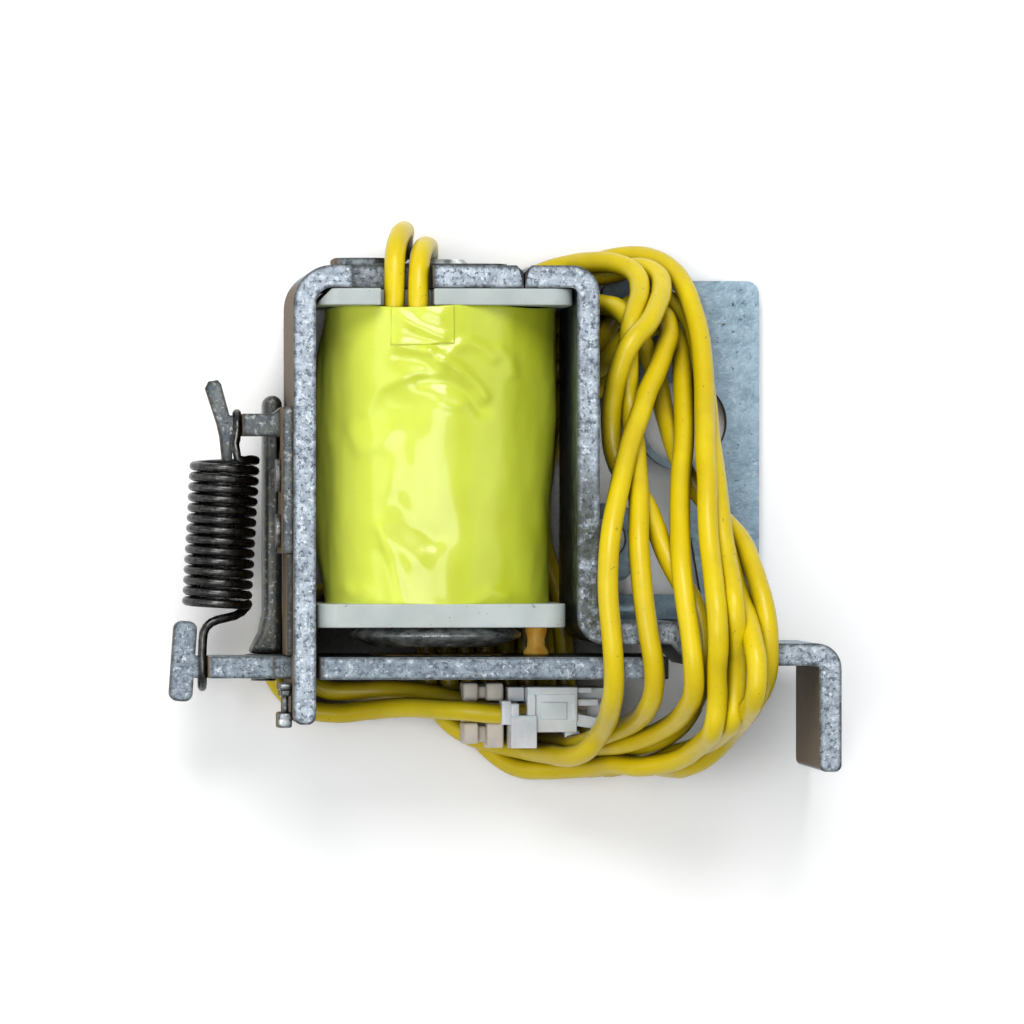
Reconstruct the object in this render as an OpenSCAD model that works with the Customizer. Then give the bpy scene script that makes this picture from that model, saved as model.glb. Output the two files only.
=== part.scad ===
// Hinged-armature solenoid with a return spring and two coiled lead wires.
// It lies on its back: the mounting plate's back face is Z = 0, and the
// origin is the centre of the large mounting hole. The pole faces -Y.

/* [Frame sheet] */
// Thickness of the frame's steel sheet
sheet_t = 1.6; // [1.4:0.1:1.8]
// Width of the frame strips, along Z
strip_w = 16; // [15.6:0.1:16.6]
// Height of the frame's back edges above the mounting face
back_gap = 1.9; // [1.8:0.1:2.4]
// Width of the frame over both legs
yoke_w = 21.9; // [21.6:0.1:23]
// From the mounting hole to the bracket leg's outer face
bracket_leg_x = 7.7; // [7.5:0.1:8.2]
// From the mounting hole up to the top plate's outer face
top_y = 11; // [10.8:0.1:12]
// Outer bend radius at the hinge leg's corner
yoke_bend_r = 2.8; // [2:0.1:3.4]
// Length of the hinge leg, from the top plate's outer face
hinge_leg_len = 32.8; // [32.4:0.1:34]

/* [Bracket] */
// Length of the bracket's top flange, from the leg's outer face to the seam
flange_len = 5.4; // [4.8:0.1:6]
// Outer radius of the bracket's leg bends
bracket_bend_r = 2; // [1.8:0.1:2.2]
// Gap from the armature to the foot's underside when open
foot_gap = 0.9; // [0.9:0.05:1.2]
// From the bracket leg's outer face to the step between foot and arm
foot_len = 4.9; // [4.7:0.1:5.2]
// How far the arm lies below the foot
arm_step = 1.55; // [1.3:0.05:1.8]
// From the mounting hole to the hook's outer face
hook_x = 9.7; // [9:0.1:12]
// Length of the hook tab, from the arm's upper face
hook_len = 9.2; // [7:0.1:12]
// Outer radius of the hook's bend
hook_bend_r = 1.8; // [1.7:0.1:3]
// Depth of the seam's dovetail
dovetail_len = 2.4; // [2:0.1:2.8]

/* [Mounting plate] */
// Radius of the large mounting hole
hole_r = 3.1; // [2.8:0.1:3.2]
// Metal left round the hole beside the window
hole_rim = 0.5; // [0.4:0.1:0.8]
// From the hole to the plate's top edge
plate_top = 10.4; // [9.5:0.1:10.8]
// From the hole to the plate's right edge
plate_right = 5.5; // [5:0.1:7]
// From the hole to the plate head's left end
plate_left = 6.1; // [5.6:0.1:6.3]
// Radius of the plate's outer corners
plate_corner_r = 1; // [0.5:0.1:2]
// From the hole to the window's right side
window_right = 0.4; // [0.1:0.1:1.2]
// Inner radius of the bend from plate to foot
plate_bend_r = 1.2; // [0.9:0.1:1.6]
// Radius of the ear's screw hole
ear_hole_r = 1.5; // [1:0.1:1.8]

/* [Coil] */
// From the hinge leg's outer face to the coil's axis
coil_offset = 10.65; // [10.6:0.05:10.8]
// Radius of the taped coil
coil_r = 8.1; // [7.6:0.1:8.1]
// Radius of the bare winding
winding_r = 6.3; // [5.6:0.1:6.4]
// Radius of the core's shaft
core_r = 3.5; // [3:0.1:3.8]
// Wall of the bobbin's tube
bobbin_wall = 1; // [0.6:0.1:1.2]
// Thickness of the bobbin's upper flange
upper_flange_t = 1.2; // [1:0.1:1.4]
// Thickness of the bobbin's lower flange
lower_flange_t = 1.7; // [1.4:0.1:1.9]
// Height of the bobbin over both flanges
bobbin_h = 24.25; // [24:0.05:24.4]
// Gap from the bobbin's flanges to the yoke's leg
flange_gap = 0.15; // [0.1:0.05:0.6]
// Thickness of the thin plate under the core's staked end
core_plate_t = 0.25; // [0.2:0.05:0.4]
// Thickness of the thin plate's raised left end
core_plate_pad_t = 0.65; // [0.45:0.05:0.7]
// Width of the thin plate, along Z
core_plate_w = 8; // [6:0.5:10]
// From the coil's axis to the thin plate's left end
core_plate_left = 7.5; // [6:0.1:7.6]
// From the coil's axis to the thin plate's right end
core_plate_right = 5; // [3:0.1:5.2]
// Length of the thin plate's raised left end
core_plate_pad_w = 3.9; // [3:0.1:4]
// Radius of the pole shoe
pole_r = 6.25; // [5.6:0.05:6.6]
// Height of the pole shoe
pole_h = 1.45; // [1.3:0.05:1.5]

// Height of the tape's loose end
patch_h = 2.9; // [2:0.1:4]
// Width of the tape's loose end, left of the coil's axis
patch_w = 4.2; // [3:0.1:6]
// Thickness of one layer of tape
patch_t = 0.12; // [0.08:0.01:0.2]

/* [Armature] */
// Thickness of the armature
arm_t = 1.6; // [1.4:0.1:1.7]
// Gap from pole shoe to armature when open
air_gap = 0.65; // [0.6:0.05:0.75]
// Play of the armature in the hinge window
hinge_play = 0.08; // [0.05:0.01:0.12]
// Width of the armature's neck in the hinge window
neck_w = 8; // [6:0.5:9]
// From the hinge axis to the armature's free end
arm_len = 26.1; // [24:0.1:26.1]
// From the hinge axis to the end of the tail that holds the spring
tail_len = 6.7; // [6:0.1:8]
// Thickness of the residual shim
shim_t = 0.1; // [0.05:0.05:0.15]
// Width of the residual shim
shim_w = 9.2; // [8:0.1:10]
// Height of the lever above the armature
lever_h = 18.8; // [15:0.1:20]
// Width of the lever
lever_w = 1.4; // [1:0.1:1.6]

/* [Return spring] */
// Diameter of the spring's wire
spring_wire = 0.55; // [0.4:0.05:0.65]
// Outer diameter of the spring
spring_d = 5; // [4:0.1:5.4]
// Number of full turns
spring_turns = 14; // [10:1:15]
// Sideways lean of the spring over its length
spring_lean = 0.6; // [0:0.1:0.8]
// From the hinge leg's outer face to the spring's axis at its first turn
spring_offset = 4.6; // [4.5:0.1:5]
// From the mounting hole down to the spring's first turn
spring_top = 2.5; // [2.3:0.1:2.8]

/* [Lead wires] */
// Diameter of a lead wire
lead_d = 1.5; // [1.3:0.1:1.5]

/* [Connector] */
// Length of the connector housing's body
housing_l = 6; // [5.5:0.1:7]
// Height of the connector housing
housing_h = 3.7; // [3.4:0.1:4]
// Width of the connector housing, along Z
housing_w = 5.6; // [5.4:0.1:6]
// Distance between the two contacts
pitch = 2.5; // [2.4:0.1:2.6]

/* [Hidden] */
$fn = 48;
eps = 0.01;

// Seating clearance between pieces that touch
seat = 0.05;
chamfer = 0.5;
front_z = back_gap + strip_w;
mid_z = back_gap + strip_w / 2;
hinge_leg_x = -bracket_leg_x - yoke_w;
coil_x = hinge_leg_x + coil_offset;
plate_under = top_y - sheet_t;
seam_x = -bracket_leg_x - flange_len;
bracket_inner_x = -bracket_leg_x - sheet_t;
foot_end = -bracket_leg_x + foot_len;
plate_band = 0.6;
window_shoulder = -8;

bobbin_top = plate_under - seat;
bobbin_bottom = bobbin_top - bobbin_h;
winding_top = bobbin_top - upper_flange_t;
winding_bottom = bobbin_bottom + lower_flange_t;
flange_depth = strip_w;
flange_r = 1.5;
flange_left = coil_offset - sheet_t - flange_gap;
flange_right = bracket_inner_x - coil_x - flange_gap - 0.1;
lower_flange_right = flange_right - 0.5;
pole_face = bobbin_bottom - pole_h;

armature_top = pole_face - air_gap;
armature_mid = armature_top - arm_t / 2;
foot_under = armature_top + foot_gap;
foot_top = foot_under + sheet_t;
arm_top = foot_top - arm_step;
arm_under = arm_top - sheet_t;
hinge_x = hinge_leg_x + sheet_t / 2;
leg_gap = 0.25;
tail_w = 6;
tail_x = hinge_x - tail_len;
tail_neck_w = 1.6;
tee_w = 1.7;
tee_h = 5.8;
lever_z = back_gap + 1.2;
lever_depth = 3.2;
lever_x = hinge_leg_x - 0.3 - lever_w;

anchor_t = 0.75;
anchor_tongue_t = 0.4;
anchor_bottom = -9.6;
anchor_top = 0.9;
anchor_tab_top = 0.45;
anchor_z0 = mid_z - 2;
anchor_end = front_z - 0.6;
anchor_x = hinge_leg_x - anchor_t;
anchor_tab_x = anchor_x - 2.65;
anchor_rivet_y = [-4, -8];
anchor_rivet_z = mid_z + 4;
rivet_r = 0.7;
rivet_head_r = 1.2;
rivet_head_t = 0.4;
keeper_r = 1.5;
keeper_y = armature_top - arm_t - hinge_play - 0.15 - keeper_r;
keeper_z = front_z - 3.2;

spring_x = hinge_leg_x - spring_offset;
spring_r = (spring_d - spring_wire) / 2;
spring_pitch = spring_wire + 0.2;
// The hooks stand in the slots beside the anchor's tab and the armature's tail
slot_w = spring_wire + 0.15;
hook_play = 0.07;
upper_hook = [anchor_tab_x - slot_w / 2, anchor_tab_top - sheet_t / 2, mid_z];
lower_hook = [tail_x - slot_w / 2, armature_mid, mid_z];

lead_r = lead_d / 2;
splice_l = 5;
splice_top = 3.2;
lead_ring_r = winding_r + lead_r + seat;
lead_x = [coil_x - 3.35, coil_x - 1.6];
lead_z = [for (x = lead_x) mid_z + sqrt(pow(lead_ring_r, 2) - pow(x - coil_x, 2))];
notch_w = 5.8;
notch_depth = 3.2;
notch_x = coil_x - 3.55;
flange_notch_w = 3.8;
flange_notch_x = coil_x - 2.5;

housing_x = -6;
housing_left = housing_x - housing_l;
housing_top = -19.2;
housing_z = 3.3;
contact_y = -21.3;
contact_z = [for (i = [0, 1]) housing_z + housing_w / 2 + (i - 0.5) * pitch];
cavity = 1.8;
entry_l = 1.5;
entry_x = housing_left - entry_l;
contact_w = 1.5;
contact_x = housing_left - 0.2;
contact_l = 4.4;

// Lead A from its splice, over the top plate and down to the bundle
route_a = [[lead_x[0], splice_top, lead_z[0]], [lead_x[0], 6.5, lead_z[0]], [-22.3, 9.8, 16.3],
    [-22.2, 11.8, 15.7], [-21.8, 13.1, 14.1], [-21.4, 13.6, 11.6], [-21.2, 13.7, 9], [-21, 13.6, 6],
    [-20.9, 13.1, 3.2], [-20.8, 12, 1.2], [-20.7, 10, 0.8], [-20.2, 7.4, 0.8], [-18.8, 5.6, 0.8],
    [-17.4, 4.4, 0.8]];
// Lead B from its splice, over the top plate and down to the bundle
route_b = [[lead_x[1], splice_top, lead_z[1]], [lead_x[1], 6.5, lead_z[1]], [-20.6, 9, 16.8],
    [-20.5, 11, 16.1], [-20.2, 12.2, 14.4], [-19.7, 12.5, 12], [-19.5, 12.5, 9], [-19.3, 12.5, 6],
    [-19.1, 12.6, 3.2], [-18.9, 11.9, 1.2], [-18.8, 10, 0.8], [-18.2, 8.2, 0.8], [-17, 7.2, 0.8],
    [-15.8, 6.4, 0.8]];
// Tail of lead A, from the bundle round the hinge leg's end to the connector
tail_route_a = [[-20, -11.9, 0.8], [-23, -12.2, 0.8], [-25.8, -12.4, 0.8], [-28.6, -13.4, 0.8],
    [-30.3, -16, 0.8], [-30.2, -18.8, 0.8], [-28.3, -20.8, 0.8], [-25.4, -21.4, 1.4],
    [-22.4, -21, 3], [-19.4, -20.9, 5.4], [-17, -21.1, 7.1], [-14.8, contact_y, contact_z[1]],
    [-13.6, contact_y, contact_z[1]], [contact_x, contact_y, contact_z[1]]];
// Tail of lead B, inside the turn of lead A
tail_route_b = [[-19.6, -14.2, 0.8], [-22.8, -14, 0.8], [-25.6, -14, 0.8], [-28, -15.1, 0.8],
    [-28.8, -17, 0.8], [-28, -19, 0.8], [-25.8, -19.8, 0.8], [-22.8, -19.7, 1.3],
    [-20, -19.8, 2.4], [-17.4, -20.3, 3.8], [-15.2, -21.1, 4.6], [-13.6, contact_y, contact_z[0]],
    [contact_x, contact_y, contact_z[0]]];
// The bundle's outline where it lies flat behind the frame
back_outline = [[-10.5, 12], [-12.6, 11.4], [-15.5, 9.6], [-18.4, 6], [-21, -1], [-21.4, -9],
    [-20.8, -13.8], [-18.2, -18.6], [-14.8, -22.4], [-10.5, -25.2], [-10.5, -22], [-10.2, -16],
    [-9.8, -8], [-9.6, -2], [-9.4, 3], [-10.5, 6]];
// The bundle's inner and outer sides where it rises over the arm
front_inner = [[-10.5, 6, 0.8], [-7.8, 7.2, 0.9], [-5.8, 8.2, 3.2], [-4.9, 7, 4.4], [-5.6, 4, 7],
    [-6.4, 0, 11], [-6.9, -4, 14.4], [-6.9, -8, 17], [-7.4, -12, 19.2], [-7.4, -16, 19.6],
    [-7.2, -19.6, 18.6], [-7.4, -22.4, 15], [-8.4, -24.2, 10.4], [-9.4, -24.6, 6], [-10.5, -24, 1.9]];
front_outer = [[-10.5, 12, 0.8], [-7.8, 12.6, 0.9], [-4.4, 12.6, 3.2], [-1, 10.4, 4.6], [0.4, 7, 7],
    [1.3, 2, 11], [1.8, -3, 14.4], [2.6, -8, 17], [4.6, -12.6, 19.2], [5, -16.4, 19.6],
    [3.6, -20.4, 18], [1.2, -23.4, 13.4], [-2.4, -25.2, 8.6], [-6.4, -25.6, 4.6], [-10.5, -25.4, 1.9]];
bundle_t = 1.5;
strand_t = 1.3;

// ---- Shared forms ----

function unit(v) = v / norm(v);
function tangent(p, i) = unit(p[min(i + 1, len(p) - 1)] - p[max(i - 1, 0)]);
function side_of(n, t) = unit(n - (n * t) * t);
function sides_along(p, n, i = 0) = i == len(p) ? [] :
    let (m = side_of(n, tangent(p, i))) concat([m], sides_along(p, m, i + 1));
function ring_faces(rings, n) = concat(
    [[for (k = [0:n - 1]) k]],
    [[for (k = [n - 1:-1:0]) (rings - 1) * n + k]],
    [for (i = [0:rings - 2]) for (k = [0:n - 1]) let (a = i * n + k, b = i * n + (k + 1) % n)
        each [[a, a + n, b + n], [a, b + n, b]]]);

// A round cord along its route's own points
module cord(route, r, start = [1, 0, 0]) {
    n = 8;
    sides = sides_along(route, start);
    points = [for (i = [0:len(route) - 1]) for (k = [0:n - 1])
        let (across = cross(tangent(route, i), sides[i]), a = 360 * k / n)
        route[i] + r * (cos(a) * sides[i] + sin(a) * across)];
    polyhedron(points = points, faces = ring_faces(len(route), n), convexity = 6);
}

// A flat strand of wires between an inner and an outer side
module strand(inner, outer, t) {
    n = 12;
    middle = [for (i = [0:len(inner) - 1]) (inner[i] + outer[i]) / 2];
    points = [for (i = [0:len(inner) - 1]) for (k = [0:n - 1])
        let (half = (outer[i] - inner[i]) / 2, up = unit(cross(tangent(middle, i), half)),
            a = 360 * k / n)
        middle[i] + cos(a) * half + sin(a) * t / 2 * up];
    polyhedron(points = points, faces = ring_faces(len(inner), n), convexity = 6);
}

// A flat shape given in X and Y, from one height to another
module slab(z0, z1) {
    translate([0, 0, z0])
        linear_extrude(z1 - z0)
            children();
}

module box(from, to) {
    translate(from)
        cube(to - from);
}

// A cylinder along Y
module pin_y(x, z, r, y0, y1) {
    translate([x, y1, z])
        rotate([90, 0, 0])
            cylinder(h = y1 - y0, r = r);
}

// A cylinder along X
module pin_x(y, z, r, x0, x1) {
    translate([x0, y, z])
        rotate([0, 90, 0])
            cylinder(h = x1 - x0, r = r);
}

// A quarter bend of sheet, from angle a to a + 90 round a centre
module bend(cx, cy, outer, a) {
    translate([cx, cy])
        rotate(a)
            difference() {
                intersection() {
                    circle(r = outer);
                    square(outer);
                }
                circle(r = outer - sheet_t);
            }
}

module rounded(x0, y0, x1, y1, r) {
    translate([x0 + r, y0])
        square([x1 - x0 - 2 * r, y1 - y0]);
    translate([x0, y0 + r])
        square([x1 - x0, y1 - y0 - 2 * r]);
    for (x = [x0 + r, x1 - r])
        for (y = [y0 + r, y1 - r])
            translate([x, y])
                circle(r = r);
}

// ---- Frame ----

// Shape of the bracket's tongue that locks into the yoke
module dovetail(grow = 0) {
    root_x = seam_x + 0.3;
    tip_x = seam_x - dovetail_len - grow;
    polygon([[root_x, mid_z - 2.2 - grow], [tip_x, mid_z - 3.4 - grow],
        [tip_x, mid_z + 3.4 + grow], [root_x, mid_z + 2.2 + grow]]);
}

// Cuts a small V along an upper edge of the seam
module seam_chamfer(x) {
    translate([x, top_y - chamfer, back_gap - 1])
        rotate(45)
            cube([2 * chamfer, 2 * chamfer, strip_w + 2]);
}

// Lays a shape drawn in X and Z into a slab across Y
module across_y(y0, y1) {
    translate([0, y1, 0])
        rotate([90, 0, 0])
            linear_extrude(y1 - y0)
                children();
}

module yoke() {
    bottom = top_y - hinge_leg_len;
    color("lightsteelblue")
        difference() {
            slab(back_gap, front_z) {
                translate([hinge_leg_x, bottom + 0.6])
                    square([sheet_t, hinge_leg_len - yoke_bend_r - 0.6]);
                translate([hinge_leg_x + 0.5, bottom])
                    square([sheet_t - 1, 0.7]);
                for (x = [hinge_leg_x + 0.6, hinge_leg_x + sheet_t - 0.6])
                    translate([x, bottom + 0.6])
                        circle(r = 0.6);
                bend(hinge_leg_x + yoke_bend_r, top_y - yoke_bend_r, yoke_bend_r, 90);
                translate([hinge_leg_x + yoke_bend_r, plate_under])
                    square([seam_x - seat - hinge_leg_x - yoke_bend_r, sheet_t]);
            }
            // Hinge window
            box([hinge_leg_x - 1, armature_top - arm_t - hinge_play, mid_z - neck_w / 2 - 0.1],
                [hinge_leg_x + sheet_t + 1, armature_top + hinge_play, mid_z + neck_w / 2 + 0.1]);
            // Notch for the lead wires
            box([notch_x - notch_w / 2, plate_under - 1, front_z - notch_depth],
                [notch_x + notch_w / 2, top_y + 1, front_z + 1]);
            // Spigot hole of the core
            pin_y(coil_x, mid_z, 2.5, plate_under - 1, top_y + 1);
            across_y(plate_under - 1, top_y + 1)
                dovetail(0.04);
            for (y = anchor_rivet_y)
                pin_x(y, anchor_rivet_z, rivet_r, hinge_leg_x - 1, hinge_leg_x + sheet_t + 1);
            pin_x(keeper_y, keeper_z, rivet_r, hinge_leg_x - 1, hinge_leg_x + sheet_t + 1);
            seam_chamfer(seam_x - seat);
        }
}

module bracket_strip() {
    translate([seam_x + seat, plate_under])
        square([flange_len - seat - bracket_bend_r, sheet_t]);
    bend(-bracket_leg_x - bracket_bend_r, top_y - bracket_bend_r, bracket_bend_r, 0);
    translate([bracket_inner_x, foot_under + bracket_bend_r])
        square([sheet_t, top_y - foot_under - 2 * bracket_bend_r]);
    bend(bracket_inner_x + bracket_bend_r, foot_under + bracket_bend_r, bracket_bend_r, 180);
}

module bracket_arm() {
    // The step between foot and arm
    polygon([[foot_end - 0.6, foot_top], [foot_end + 0.5, foot_top], [foot_end + 1.9, arm_top],
        [foot_end + 2.6, arm_top], [foot_end + 2.6, arm_under], [foot_end + 1.7, arm_under],
        [foot_end + 0.2, foot_under], [foot_end - 0.6, foot_under]]);
    translate([foot_end + 2.5, arm_under])
        square([hook_x - hook_bend_r - foot_end - 2.5, sheet_t]);
    bend(hook_x - hook_bend_r, arm_top - hook_bend_r, hook_bend_r, 0);
    translate([hook_x - sheet_t, arm_top - hook_len + 0.5])
        square([sheet_t, hook_len - hook_bend_r - 0.5]);
    rounded(hook_x - sheet_t, arm_top - hook_len, hook_x, arm_top - hook_len + 2, 0.5);
}

module plate_outline() {
    window_top = -hole_r - hole_rim;
    bend_y = foot_top + plate_bend_r;
    difference() {
        union() {
            rounded(-plate_left, 1.4, plate_right, plate_top, plate_corner_r);
            circle(r = hole_r + hole_rim);
            translate([window_right, foot_top + plate_bend_r])
                square([plate_right - window_right, plate_top - foot_top - plate_bend_r - plate_corner_r]);
            rounded(foot_end - 2, foot_top, plate_right, foot_top + 3, plate_corner_r);
            translate([-bracket_leg_x + 0.4, bend_y - eps])
                square([plate_right + bracket_leg_x - 1.4, plate_band + 0.3]);
            // Fillet from the ring into the head
            polygon([[-plate_left + 0.6, 1.5], [-hole_r - hole_rim + 0.4, -1], [0, 1.5]]);
        }
        circle(r = hole_r);
        // The window narrows to the right as it falls
        polygon([[-bracket_leg_x - 1, window_top], [window_right, window_top - 2],
            [window_right, window_shoulder],
            [window_right + 0.8, bend_y + plate_band], [-bracket_leg_x - 1, bend_y + plate_band]]);
    }
}

module bracket() {
    bend_out = plate_bend_r + sheet_t;
    bend_y = foot_top + plate_bend_r;
    color("lightsteelblue") {
        difference() {
            union() {
                slab(back_gap, front_z)
                    bracket_strip();
                across_y(plate_under, top_y)
                    dovetail();
                slab(bend_out, front_z)
                    translate([bracket_inner_x + bracket_bend_r - eps, foot_under])
                        square([foot_len + sheet_t - bracket_bend_r, sheet_t]);
                slab(bend_out, front_z)
                    bracket_arm();
                // Bend from the plate up into the foot
                translate([-bracket_leg_x + 0.4, bend_y, bend_out])
                    rotate([0, 90, 0])
                        linear_extrude(foot_len - 0.8)
                            bend(0, 0, bend_out, -90);
                slab(0, sheet_t)
                    plate_outline();
                // Ear bent from the leg's back edge
                slab(back_gap, back_gap + sheet_t)
                    difference() {
                        rounded(-bracket_leg_x - 1.2, -11.7, -4, -6, 1.2);
                        translate([-6, -8.6])
                            circle(r = ear_hole_r);
                    }
            }
            seam_chamfer(seam_x + seat);
        }
    }
}

// ---- Coil ----

module core() {
    color("slategray") {
        pin_y(coil_x, mid_z, core_r - seat, bobbin_bottom, plate_under);
        pin_y(coil_x, mid_z, 2.5 - 0.03, plate_under - eps, top_y + 0.3);
        translate([coil_x, top_y + 0.3 - eps, mid_z])
            rotate([-90, 0, 0])
                cylinder(h = 0.35, r1 = 2.4, r2 = 2);
    }
}

module core_plate() {
    half = core_plate_w / 2;
    left = coil_x - core_plate_left;
    color("silver")
        difference() {
            union() {
                across_y(top_y, top_y + core_plate_t)
                    rounded(left, mid_z - half, coil_x + core_plate_right, mid_z + half, 1.4);
                across_y(top_y, top_y + core_plate_pad_t)
                    rounded(left, mid_z - half, left + core_plate_pad_w, mid_z + half, 1.4);
            }
            pin_y(coil_x, mid_z, 2.55, top_y - 1, top_y + 2);
        }
}

module pole_shoe() {
    color("dimgray")
        translate([coil_x, bobbin_bottom - seat, mid_z])
            rotate([90, 0, 0])
                rotate_extrude()
                    polygon([[0, 0], [pole_r - 0.7, 0], [pole_r - 0.1, 0.35], [pole_r, 0.6],
                        [pole_r - 0.3, 0.85], [pole_r - 1.6, pole_h - seat - 0.1],
                        [pole_r - 1.9, pole_h - seat], [0, pole_h - seat]]);
}

module flange_outline(left, right) {
    rounded(coil_x - left, mid_z - flange_depth / 2, coil_x + right, mid_z + flange_depth / 2,
        flange_r);
}

module bobbin() {
    color("aliceblue")
        difference() {
            union() {
                across_y(winding_top, bobbin_top)
                    flange_outline(flange_left, flange_right);
                across_y(bobbin_bottom, winding_bottom)
                    flange_outline(flange_left, lower_flange_right);
                pin_y(coil_x, mid_z, core_r + bobbin_wall, bobbin_bottom, bobbin_top);
            }
            pin_y(coil_x, mid_z, core_r, bobbin_bottom - 1, bobbin_top + 1);
            // Bevel that clears the inside of the yoke's bend
            slab(back_gap - 1, front_z + 1)
                polygon([[hinge_leg_x, plate_under + 1], [hinge_leg_x + yoke_bend_r, plate_under + 1],
                    [hinge_leg_x + yoke_bend_r, plate_under],
                    [hinge_leg_x + sheet_t, plate_under - yoke_bend_r + sheet_t], [hinge_leg_x, winding_top]]);
            // Notch for the lead wires
            box([flange_notch_x - flange_notch_w / 2, winding_top - 1, front_z - notch_depth],
                [flange_notch_x + flange_notch_w / 2, bobbin_top + 1, front_z + 1]);
        }
}

module ring_y(r0, r1, y0, y1) {
    difference() {
        pin_y(coil_x, mid_z, r1, y0, y1);
        pin_y(coil_x, mid_z, r0, y0 - 1, y1 + 1);
    }
}

module winding() {
    color("peru")
        ring_y(core_r + bobbin_wall + seat, winding_r, winding_bottom + seat, winding_top - seat);
}

module coil_tape() {
    color("yellowgreen")
        difference() {
            ring_y(winding_r + eps, coil_r, winding_bottom + seat, winding_top - seat);
            // Channels of the two leads and their splices
            for (i = [0, 1])
                pin_y(lead_x[i], lead_z[i], lead_r + seat, splice_top - splice_l, winding_top);
        }
}

module tape_patch() {
    color("greenyellow")
        intersection() {
            ring_y(coil_r + eps, coil_r + patch_t, winding_top - patch_h, winding_top - seat);
            box([coil_x - patch_w, winding_top - patch_h, mid_z], [coil_x + 0.2, winding_top, front_z + 1]);
        }
}

module lead_splices() {
    color("sienna")
        for (i = [0, 1])
            pin_y(lead_x[i], lead_z[i], lead_r - 0.05, splice_top - splice_l, splice_top);
}

module damper_pad() {
    color("orange")
        translate([coil_x + 7.3, bobbin_bottom - seat, mid_z])
            rotate([90, 0, 0])
                cylinder(h = pole_h + air_gap - 2 * seat, r = 0.9);
}

// ---- Armature ----

module armature() {
    under = armature_top - arm_t;
    wide_x = hinge_leg_x + sheet_t + leg_gap;
    color("lightsteelblue")
        difference() {
            union() {
                across_y(under, armature_top) {
                    rounded(wide_x, back_gap, hinge_x + arm_len, front_z, 0.6);
                    translate([hinge_leg_x - leg_gap - 1, mid_z - neck_w / 2])
                        square([sheet_t + 2 * leg_gap + 2, neck_w]);
                    rounded(tail_x, mid_z - tail_w / 2, hinge_leg_x - leg_gap, mid_z + tail_w / 2, 0.6);
                    // Lug under the lever
                    rounded(lever_x - 1.2, lever_z - 0.3, hinge_leg_x - leg_gap, mid_z, 0.4);
                    translate([tail_x - slot_w - tee_w / 2, mid_z - tail_neck_w / 2])
                        square([slot_w + tee_w, tail_neck_w]);
                }
                // T-shaped end that keeps the spring's hook
                translate([tail_x - slot_w - tee_w / 2 - 0.2, armature_mid + 0.4, mid_z])
                    rotate(-4)
                        slab(-tail_neck_w / 2, tail_neck_w / 2)
                            rounded(-tee_w / 2, -tee_h / 2, tee_w / 2, tee_h / 2, 0.6);
            }
            pin_y(lever_x + 0.1, lever_z + lever_depth / 2, 0.5, under - 1, armature_top + 1);
        }
}

module armature_lever() {
    color("darkslategray") {
        slab(lever_z, lever_z + lever_depth) {
            translate([lever_x, armature_top + seat + 0.5])
                square([lever_w, lever_h - lever_w / 2 - 0.5]);
            translate([lever_x + lever_w / 2, armature_top + seat + lever_h - lever_w / 2])
                circle(r = lever_w / 2);
            polygon([[lever_x - 1.1, armature_top + seat], [lever_x + lever_w, armature_top + seat],
                [lever_x + lever_w, armature_top + 3], [lever_x, armature_top + 3],
                [lever_x - 0.3, armature_top + 1.6]]);
        }
    }
}

module lever_rivet() {
    color("gray") {
        pin_y(lever_x + 0.1, lever_z + lever_depth / 2, 0.47, armature_top - arm_t, armature_top + seat);
        pin_y(lever_x + 0.1, lever_z + lever_depth / 2, 0.9, armature_top - arm_t - 0.35,
            armature_top - arm_t);
    }
}

module residual_shim() {
    color("goldenrod")
        across_y(armature_top, armature_top + shim_t)
            rounded(coil_x - shim_w / 2, mid_z - shim_w / 2, coil_x + shim_w / 2, mid_z + shim_w / 2, 1);
}

// ---- Spring and its anchor ----

module spring_anchor() {
    tab_mid = anchor_tab_top - sheet_t / 2;
    color("silver")
        difference() {
            union() {
                box([anchor_x, anchor_bottom, anchor_z0], [hinge_leg_x, anchor_top, anchor_end]);
                box([hinge_leg_x - anchor_tongue_t, armature_top + 2 * seat, anchor_z0 + 1],
                    [hinge_leg_x, anchor_bottom + eps, anchor_end - 1]);
                box([anchor_tab_x, anchor_tab_top - sheet_t, mid_z - 1.9],
                    [anchor_x + eps, anchor_tab_top, mid_z + 3]);
                // Neck and bar that keep the spring's hook
                box([anchor_tab_x - 1.2, tab_mid - 0.7, mid_z - 0.8],
                    [anchor_tab_x + eps, tab_mid + 0.7, mid_z + 0.8]);
                translate([anchor_tab_x - slot_w, 0])
                    slab(mid_z - 0.8, mid_z + 0.8)
                        polygon([[0, -2.8], [0, -0.4], [-0.8, 2.6], [-1.05, 2.9], [-1.7, 2.8],
                            [-1.95, 2.3], [-1.1, -0.3], [-0.9, -1.2], [-0.7, -3], [-0.2, -3]]);
                // Fillet of the tab into the plate
                slab(mid_z - 1.9, mid_z + 3)
                    polygon([[anchor_x - 0.5, anchor_tab_top - eps], [anchor_x + 0.1, anchor_top],
                        [anchor_x + 0.1, anchor_tab_top - eps]]);
            }
            for (y = anchor_rivet_y)
                pin_x(y, anchor_rivet_z, rivet_r, anchor_x - 1, hinge_leg_x + 1);
        }
}

module headed_rivet(y, z, grip_x) {
    pin_x(y, z, rivet_r - 0.03, grip_x - eps, hinge_leg_x + sheet_t);
    pin_x(y, z, rivet_head_r, grip_x - rivet_head_t, grip_x);
}

module anchor_rivets() {
    color("gray")
        for (y = anchor_rivet_y)
            headed_rivet(y, anchor_rivet_z, anchor_x);
}

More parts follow.
